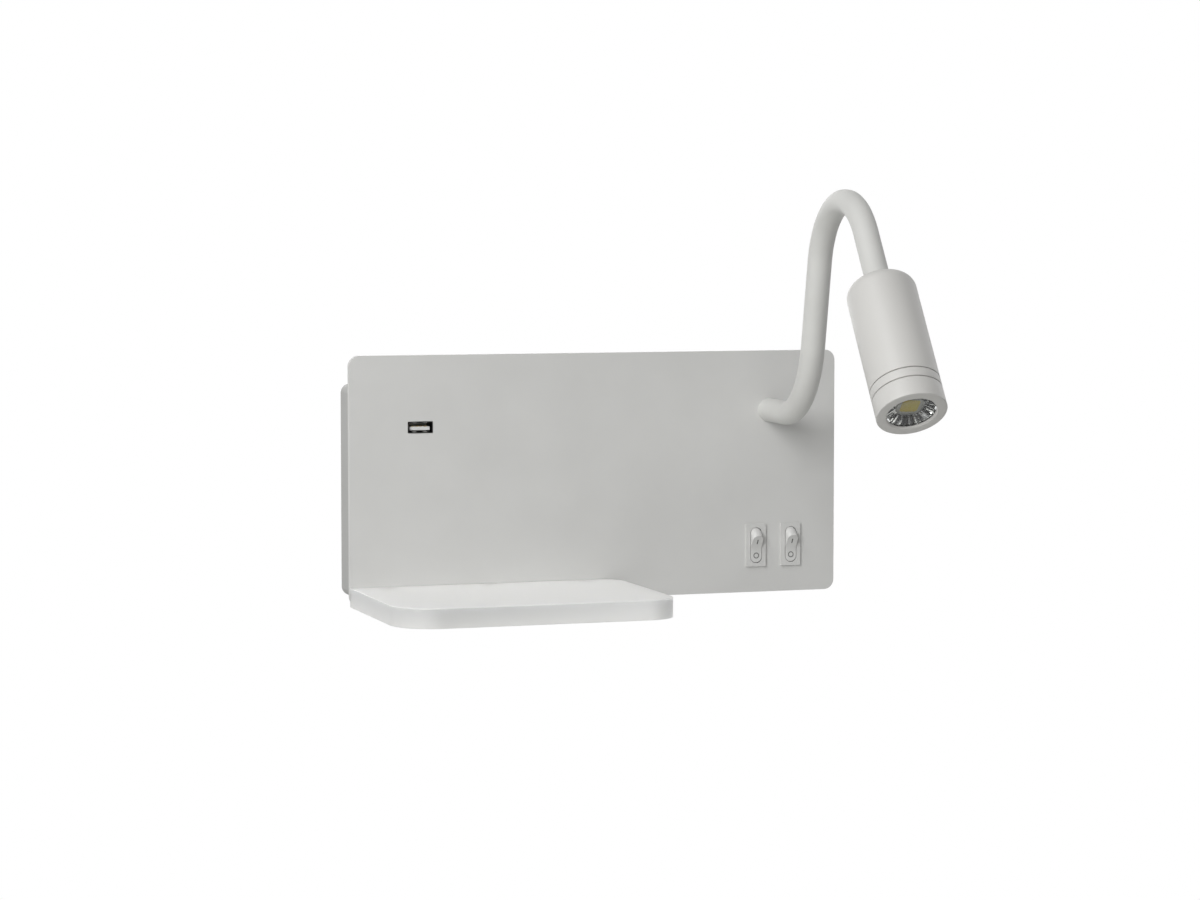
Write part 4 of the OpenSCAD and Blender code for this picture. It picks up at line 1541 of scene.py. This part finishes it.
@dataclass
class RockerMarks:
    """The on and off signs printed on a rocker: a bar above and a ring below."""

    x: float
    body: str
    z: float = -39.7
    pivot_y: float = -34.8
    tilt_deg: float = 16.0
    face_out: float = 4.5
    raised: float = 0.04
    bar_w: float = 0.6
    bar_low: float = 2.4
    bar_high: float = 5.2
    ring_z: float = -4.25
    ring_r: tuple[float, float] = (1.6, 1.12)
    ring_sides: int = 40

    def on_face(self, points: Iterable[Point2], upper: bool, lift: float) -> list[Vector]:
        """Lays points on one of the rocker's two faces as it stands.

        Args:
            points: Points as (right, up along the face from the valley) in millimetres.
            upper: Whether they lie on the upper face.
            lift: Height above the face.

        Returns:
            The points in metres.
        """
        tilt = math.radians(self.tilt_deg)
        foot = self.face_out / math.cos(tilt)
        valley = Vector((self.x, -foot * math.cos(tilt), -foot * math.sin(tilt)))
        lean = 2 * tilt if upper else 0.0
        up = Vector((0, -math.sin(lean), math.cos(lean)))
        out = Vector((0, -math.cos(lean), -math.sin(lean)))
        base = valley + Vector((0, self.pivot_y, self.z))
        return [
            (base + Vector((p[0], 0, 0)) + up * p[1] + out * lift) * MM for p in points
        ]

    def inlay(self, name: str, loops: list[list[Point2]], upper: bool) -> None:
        """Makes one thin printed sign.

        Args:
            name: The sign's name.
            loops: Its outline, or its outer and its inner one.
            upper: Whether it is on the upper face.
        """
        verts: list[Vector] = []
        faces: list[list[int]] = []
        n = len(loops[0])
        for lift in (0.0, self.raised):
            for loop in loops:
                verts += self.on_face(loop, upper, lift)
        rings = len(loops)
        top = rings * n
        for k in range(n):
            m = (k + 1) % n
            if rings == 2:
                faces.append([top + k, top + m, top + n + m, top + n + k])
                faces.append([n + k, n + m, top + n + m, top + n + k])
            faces.append([k, m, top + m, top + k])
        if rings == 1:
            faces.append([top + k for k in range(n)])
        settle(make_piece(name, verts, faces, Looks.MARK), self.body)

    def build(self) -> None:
        """Makes the bar and the ring."""
        x, low, high = self.bar_w / 2, self.bar_low, self.bar_high
        bar = soften([(-x, low), (x, low), (x, high), (-x, high)], x / 2, steps=3)
        self.inlay(f"{self.body}_bar", [bar], True)
        turns = [2 * math.pi * k / self.ring_sides for k in range(self.ring_sides)]
        ring = [
            [(r * math.cos(a), self.ring_z + r * math.sin(a)) for a in turns] for r in self.ring_r
        ]
        self.inlay(f"{self.body}_ring", ring, False)


@dataclass
class Switches:
    """Both rocker switches with their bezels, rockers, signs and blades."""

    places: tuple[tuple[str, float], ...] = (("reading", 89.5), ("backlight", 109.5))

    def build(self) -> None:
        """Dresses the bodies and rockers and adds the signs."""
        for name, x in self.places:
            dress(f"{name}_switch_body", Looks.SWITCH, edge_mm=0.12)
            dress(f"{name}_rocker", Looks.ROCKER, edge_mm=0.45, steps=3)
            RockerMarks(x, f"{name}_rocker").build()
            LOG.info("switch: %s", name)
        dress("switch_terminals", Looks.BRASS, edge_mm=0.1)


@dataclass
class PanScrews:
    """Pan head screws with a cross recess, in place of a node of plain ones."""

    name: str
    node: str
    body: str
    places: list[tuple[Vector, Vector]]
    head_r: float = 2.75
    head_h: float = 1.8
    # The head's rim is upright over this share of its height, and domed above
    rim_share: float = 0.45
    dome_steps: int = 7
    # Below 1 the dome is fuller than a round one
    dome_power: float = 0.8
    recess_depth: float = 0.9
    # Points of the head's profile, counted from its middle, that the recess takes down
    recess_points: int = 4
    shank_r: float = 1.45
    thread_pitch: float = 0.5
    thread_depth: float = 0.25
    length: float = 6.0
    sides: int = 32

    def one(self, at: Vector, out: Vector) -> tuple[list[Vector], list[list[int]]]:
        """Shapes one screw, whose head stands out of the surface at a point.

        Args:
            at: Middle of the head's seat in millimetres.
            out: Direction from the seat to the head's top.

        Returns:
            Points in metres and faces.
        """
        spin = out.to_track_quat("Z", "Y").to_matrix().to_4x4()
        place = Matrix.Translation(at * MM) @ spin
        shank = ThreadedShank(self.shank_r, 0.0, self.thread_pitch, self.thread_depth)
        head = [(self.head_r, 0.0), (self.head_r, self.head_h * self.rim_share)]
        for k in range(1, self.dome_steps):
            a = math.pi / 2 * k / self.dome_steps
            rise = self.rim_share + (1 - self.rim_share) * math.sin(a)
            reach = self.head_r * math.cos(a) ** self.dome_power
            head.append((reach, self.head_h * rise))
        profile = [*shank.profile(-self.length, 0.0)[:-1], *head, (0.0, self.head_h)]
        verts, faces = revolve(profile, place, self.sides)
        n = len(profile)
        down = (spin @ Vector((0, 0, self.recess_depth * MM))).to_3d()
        # the cross is the inner points of three neighbouring spokes in each quarter
        quarter = self.sides // 4
        for i in range(self.sides):
            if i % quarter in (0, 1, quarter - 1):
                for k in range(n - self.recess_points, n):
                    verts[i * n + k] -= down
        return verts, faces

    def build(self) -> None:
        """Makes all the screws as one piece."""
        verts: list[Vector] = []
        faces: list[list[int]] = []
        for at, out in self.places:
            v, f = self.one(at, out)
            faces += [[i + len(verts) for i in face] for face in f]
            verts += v
        made = make_piece(self.name, verts, faces, Looks.SCREW)
        settle(made, self.body, self.node)
        LOG.info("screws: %s", self.name)


@dataclass
class Housing:
    """The housing, the front plate and what holds them together and to the wall."""

    screw_x: float = 100.0
    screw_y: float = -6.0
    low: float = -63.0
    high: float = 49.0

    def build(self) -> None:
        """Dresses the sheets and makes the screws that show."""
        dress("front_plate", Looks.PLATE_COAT, edge_mm=0.4, steps=3)
        dress("rear_housing", Looks.HOUSING_COAT_PAINTED_SHADE, edge_mm=0.3, steps=3)
        dress("back_plate", Looks.ZINC, edge_mm=0.15)
        dress("plate_studs", Looks.SCREW)
        dress("plate_nuts", Looks.SCREW, edge_mm=0.2)
        up, down = Vector((0, 0, 1)), Vector((0, 0, -1))
        places = [
            (Vector((x, self.screw_y, z)), out)
            for x in (-self.screw_x, self.screw_x)
            for z, out in ((self.low, down), (self.high, up))
        ]
        PanScrews("housing_pan_screws", "housing_screws", "lamp", places).build()
        LOG.info("housing: plate, box, back sheet and screws")


@dataclass
class Shelf:
    """The frosted slab, its threaded inserts and its screws."""

    def build(self) -> None:
        """Dresses the slab and its fixings."""
        dress("shelf", Looks.SHELF, edge_mm=0.7, steps=4)
        dress("shelf_inserts", Looks.BRASS, edge_mm=0.1)
        dress("shelf_screws", Looks.SCREW, edge_mm=0.2)
        LOG.info("shelf: slab, inserts and screws")


@dataclass
class UsbSocket:
    """The socket in the plate with its circuit."""

    x: float = -97.0
    z: float = 27.5
    inner_h: float = 5.0
    spring_w: float = 2.0
    spring_t: float = 0.25
    spring_x: float = 2.9
    spring: tuple[Point2, ...] = ((-33.0, 0.05), (-35.2, 0.4), (-36.2, 0.5), (-36.9, 0.2))

    def springs(self) -> None:
        """Makes the four bent tabs that grip the plug, two above the tongue and two below it."""
        verts: list[Vector] = []
        faces: list[list[int]] = []
        for side in (-1, 1):
            for wall in (-1, 1):
                base = len(verts)
                for y, lean in self.spring:
                    for lift in (lean, lean - self.spring_t):
                        z = self.z + wall * (self.inner_h / 2 - lift)
                        for edge in (-0.5, 0.5):
                            x = self.x + side * self.spring_x + edge * self.spring_w
                            verts.append(Vector((x, y, z)) * MM)
                for k in range(len(self.spring) - 1):
                    a = base + 4 * k
                    for i, j in ((0, 1), (1, 3), (3, 2), (2, 0)):
                        faces.append([a + i, a + j, a + 4 + j, a + 4 + i])
                last = base + 4 * (len(self.spring) - 1)
                faces.append([base, base + 1, base + 3, base + 2])
                faces.append([last, last + 1, last + 3, last + 2])
        made = make_piece("socket_springs", verts, faces, Looks.SPRING)
        settle(made, "lamp")

    def build(self) -> None:
        """Dresses the socket and its circuit and adds the springs."""
        self.springs()
        dress("usb_shell", Looks.SHELL_PAINTED_SHADE, edge_mm=0.06)
        dress("usb_tongue", Looks.TONGUE, edge_mm=0.08)
        dress("usb_contacts", Looks.GOLD)
        dress("usb_board", Looks.BOARD, edge_mm=0.1)
        dress("usb_carrier", Looks.GREY, edge_mm=0.3)
        LOG.info("socket: shell, tongue, contacts and circuit")


@dataclass
class MainsInlet:
    """The grommet, the terminals and the driver inside the housing."""

    def build(self) -> None:
        """Dresses the inlet's pieces."""
        dress("cable_grommet", Looks.RUBBER, edge_mm=0.25, steps=3)
        dress("terminal_block", Looks.IVORY, edge_mm=0.3)
        dress("terminal_screws", Looks.SCREW, edge_mm=0.15)
        dress("earth_screw", Looks.BRASS, edge_mm=0.15)
        dress("led_driver", Looks.WHITE, edge_mm=0.5, steps=3)
        dress("driver_screws", Looks.SCREW, edge_mm=0.2)
        LOG.info("inlet: grommet, terminals, earth screw and driver")


@dataclass
class Backlight:
    """The strip on top of the housing under its opal cover."""

    def build(self) -> None:
        """Dresses the strip and its cover."""
        dress("led_strip", Looks.STRIP)
        dress("light_diffuser", Looks.DIFFUSER, edge_mm=0.5, steps=3)
        LOG.info("backlight: strip and cover")


@dataclass
class HousingLead:
    """The lead's run inside the housing, from the driver to the arm."""

    radius: float = 1.8
    # The CAD lead's own route, from the driver's end to the plate
    points: list[tuple[float, float, float]] = field(
        default_factory=lambda: [
            (51.0, -11.0, -35.0),
            (59.0, -11.0, -35.0),
            (71.0, -10.0, -29.0),
            (88.0, -8.0, -15.0),
            (93.0, -7.0, 7.0),
            (95.5, -7.0, 19.0),
            (96.5, -9.0, 27.0),
            (97.0, -13.0, 32.0),
            (97.0, -19.0, 33.0),
            (97.0, -38.0, 33.0),
        ]
    )

    def build(self) -> None:
        """Makes the run as a smooth tube."""
        line = bpy.data.curves.new("housing_lead", "CURVE")
        line.dimensions = "3D"
        line.bevel_depth = self.radius * MM
        line.bevel_resolution = 4
        line.resolution_u = 8
        spline = line.splines.new("NURBS")
        spline.points.add(len(self.points) - 1)
        for at, p in zip(spline.points, self.points):
            at.co = (*(c * MM for c in p), 1.0)
        spline.order_u = 3
        spline.use_endpoint_u = True
        source = link("housing_lead_line", line)
        bpy.context.view_layer.update()
        mesh = bpy.data.meshes.new_from_object(
            source.evaluated_get(bpy.context.evaluated_depsgraph_get())
        )
        bpy.data.objects.remove(source)
        mesh.materials.clear()
        mesh.materials.append(Looks.SHEATH.value.material())
        mesh.shade_smooth()
        settle(link("housing_lead", mesh), "lamp", "arm_lead")
        LOG.info("lead: run inside the housing")


# ---------------------------------------------------------------- studio


@dataclass
class Studio:
    """The camera at the photograph's view, soft lamps, a pale floor and white surroundings."""

    camera_at: tuple[float, float, float] = (-0.540, -1.649, 0.133)
    yaw_deg: float = 18.57
    pitch_deg: float = 4.02
    lens_mm: float = 96.69
    sensor_mm: float = 36.0
    # Each lamp's name, place and side in metres, and power in watts
    lamps: tuple[tuple[str, tuple[float, float, float], float, float], ...] = (
        ("key_light", (-1.35, -1.5, 0.75), 0.9, 25.4),
        ("top_light", (-1.2, -0.8, 1.6), 0.9, 15.3),
        ("back_light", (0.2, 2.0, 0.4), 1.4, 16.0),
        ("side_light", (1.7, 0.5, 0.4), 0.9, 5.5),
    )
    lamps_aim: tuple[float, float, float] = (0.0, -0.08, 0.0)
    ambient: float = 0.2
    # The floor's left, front, right and back edges
    floor_edges: tuple[float, float, float, float] = (-1.4, -2.0, 1.4, 0.5)
    floor_z: float = -0.42
    floor_colour: str = "#DEDEDC"
    floor_glow: float = 0.5
    # Shares of half the floor's width between which it fades into the surroundings
    fade_from: float = 0.2
    fade_to: float = 0.97

    def camera(self) -> None:
        """Puts the camera where the photograph was taken from."""
        data = bpy.data.cameras.new("camera")
        data.lens = self.lens_mm
        data.sensor_width = self.sensor_mm
        made = link("camera", data)
        made.location = self.camera_at
        made.rotation_euler = (
            math.radians(90 - self.pitch_deg),
            0.0,
            -math.radians(self.yaw_deg),
        )
        bpy.context.scene.camera = made

    def lamp(self, name: str, at: Sequence[float], size: float, watts: float) -> None:
        """Adds a square soft white lamp that looks at the object.

        Args:
            name: The lamp's name.
            at: Its place in metres.
            size: Its side in metres.
            watts: Its power.
        """
        data = bpy.data.lights.new(name, "AREA")
        data.shape = "SQUARE"
        data.size = size
        data.energy = watts
        made = link(name, data)
        made.location = at
        aim = Vector(self.lamps_aim) - Vector(at)
        made.rotation_euler = aim.to_track_quat("-Z", "Y").to_euler()

    def seen_directly(self, tree: bpy.types.NodeTree) -> bpy.types.NodeSocket:
        """Adds a factor of 1 for camera, glossy and transmitted rays and 0 for the rest.

        Args:
            tree: The node tree that gets it.

        Returns:
            The factor.
        """
        path = add_node(tree, "ShaderNodeLightPath")
        first = add_node(
            tree,
            "ShaderNodeMath",
            {"operation": "MAXIMUM"},
            {0: path.outputs["Is Camera Ray"], 1: path.outputs["Is Glossy Ray"]},
        )
        return add_node(
            tree,
            "ShaderNodeMath",
            {"operation": "MAXIMUM"},
            {0: first.outputs[0], 1: path.outputs["Is Transmission Ray"]},
        ).outputs[0]

    def surroundings(self) -> None:
        """Makes the world white to the eye and an even soft light on the object."""
        world = bpy.data.worlds.new("surroundings")
        world.use_nodes = True
        tree = world.node_tree
        tree.nodes.clear()
        strength = add_node(
            tree,
            "ShaderNodeMapRange",
            inputs={"Value": self.seen_directly(tree), "To Min": self.ambient, "To Max": 1.0},
        )
        light = add_node(
            tree,
            "ShaderNodeBackground",
            inputs={"Color": (1, 1, 1, 1), "Strength": strength.outputs["Result"]},
        )
        add_node(
            tree, "ShaderNodeOutputWorld", inputs={"Surface": light.outputs["Background"]}
        )
        bpy.context.scene.world = world

    def floor(self) -> None:
        """Makes a plain pale floor well below the lamp, out of the photograph's view.

        Seen from above it is half as bright as the white surroundings and half lit paint, so it
        keeps the shadow, and it fades into the surroundings towards its edges. Seen from below it
        is clear, so the lamp's underside stays in view.
        """
        z = self.floor_z
        left, front, right, back = self.floor_edges
        material = bpy.data.materials.new("pale_floor")
        material.use_nodes = True
        tree = material.node_tree
        tree.nodes.clear()
        pale = linear(self.floor_colour)
        paint = add_node(tree, "ShaderNodeBsdfDiffuse", inputs={"Color": pale})
        glow = add_node(tree, "ShaderNodeEmission", inputs={"Color": (1, 1, 1, 1), "Strength": 1})
        seen = add_node(tree, "ShaderNodeLightPath").outputs["Is Camera Ray"]
        place = add_node(tree, "ShaderNodeTexCoord").outputs["Object"]
        centre = ((left + right) / 2, (front + back) / 2, z)
        reach = add_node(
            tree, "ShaderNodeVectorMath", {"operation": "DISTANCE"}, {0: place, 1: centre}
        ).outputs["Value"]
        edge = min(right - left, back - front) / 2
        fade = add_node(
            tree,
            "ShaderNodeMapRange",
            {"interpolation_type": "SMOOTHSTEP"},
            {
                "Value": reach,
                "From Min": self.fade_from * edge,
                "From Max": self.fade_to * edge,
                "To Min": self.floor_glow,
                "To Max": 1.0,
            },
        ).outputs["Result"]
        half = add_node(tree, "ShaderNodeMath", {"operation": "MULTIPLY"}, {0: seen, 1: fade})
        top = add_node(
            tree,
            "ShaderNodeMixShader",
            inputs={0: half.outputs[0], 1: paint.outputs["BSDF"], 2: glow.outputs["Emission"]},
        )
        side = add_node(tree, "ShaderNodeNewGeometry").outputs["Backfacing"]
        under = add_node(tree, "ShaderNodeMath", {"operation": "MULTIPLY"}, {0: seen, 1: side})
        clear = add_node(tree, "ShaderNodeBsdfTransparent")
        both = add_node(
            tree,
            "ShaderNodeMixShader",
            inputs={0: under.outputs[0], 1: top.outputs[0], 2: clear.outputs["BSDF"]},
        )
        add_node(tree, "ShaderNodeOutputMaterial", inputs={"Surface": both.outputs[0]})
        mesh = bpy.data.meshes.new("floor")
        mesh.from_pydata(
            [(left, front, z), (right, front, z), (right, back, z), (left, back, z)],
            [],
            [(0, 1, 2, 3)],
        )
        mesh.materials.append(material)
        link("floor", mesh)

    def build(self) -> None:
        """Makes the whole studio, the camera first."""
        self.camera()
        for lamp in self.lamps:
            self.lamp(*lamp)
        self.surroundings()
        self.floor()
        bpy.context.scene.view_settings.view_transform = "Standard"
        LOG.info("studio: camera, lamps, surroundings and floor")


def main() -> None:
    """Builds the studio, then each sub-assembly in order."""
    Studio().build()
    path = ArmPath()
    parts: list[Callable[[], None]] = [
        Housing().build,
        Shelf().build,
        UsbSocket().build,
        Switches().build,
        MainsInlet().build,
        Backlight().build,
        HousingLead().build,
        FlexibleArm(path).build,
        ArmEnds(path).build,
        LampHead(path).build,
    ]
    for build in parts:
        build()


if __name__ == "__main__":
    logging.basicConfig(level=logging.INFO, format="%(message)s")
    main()
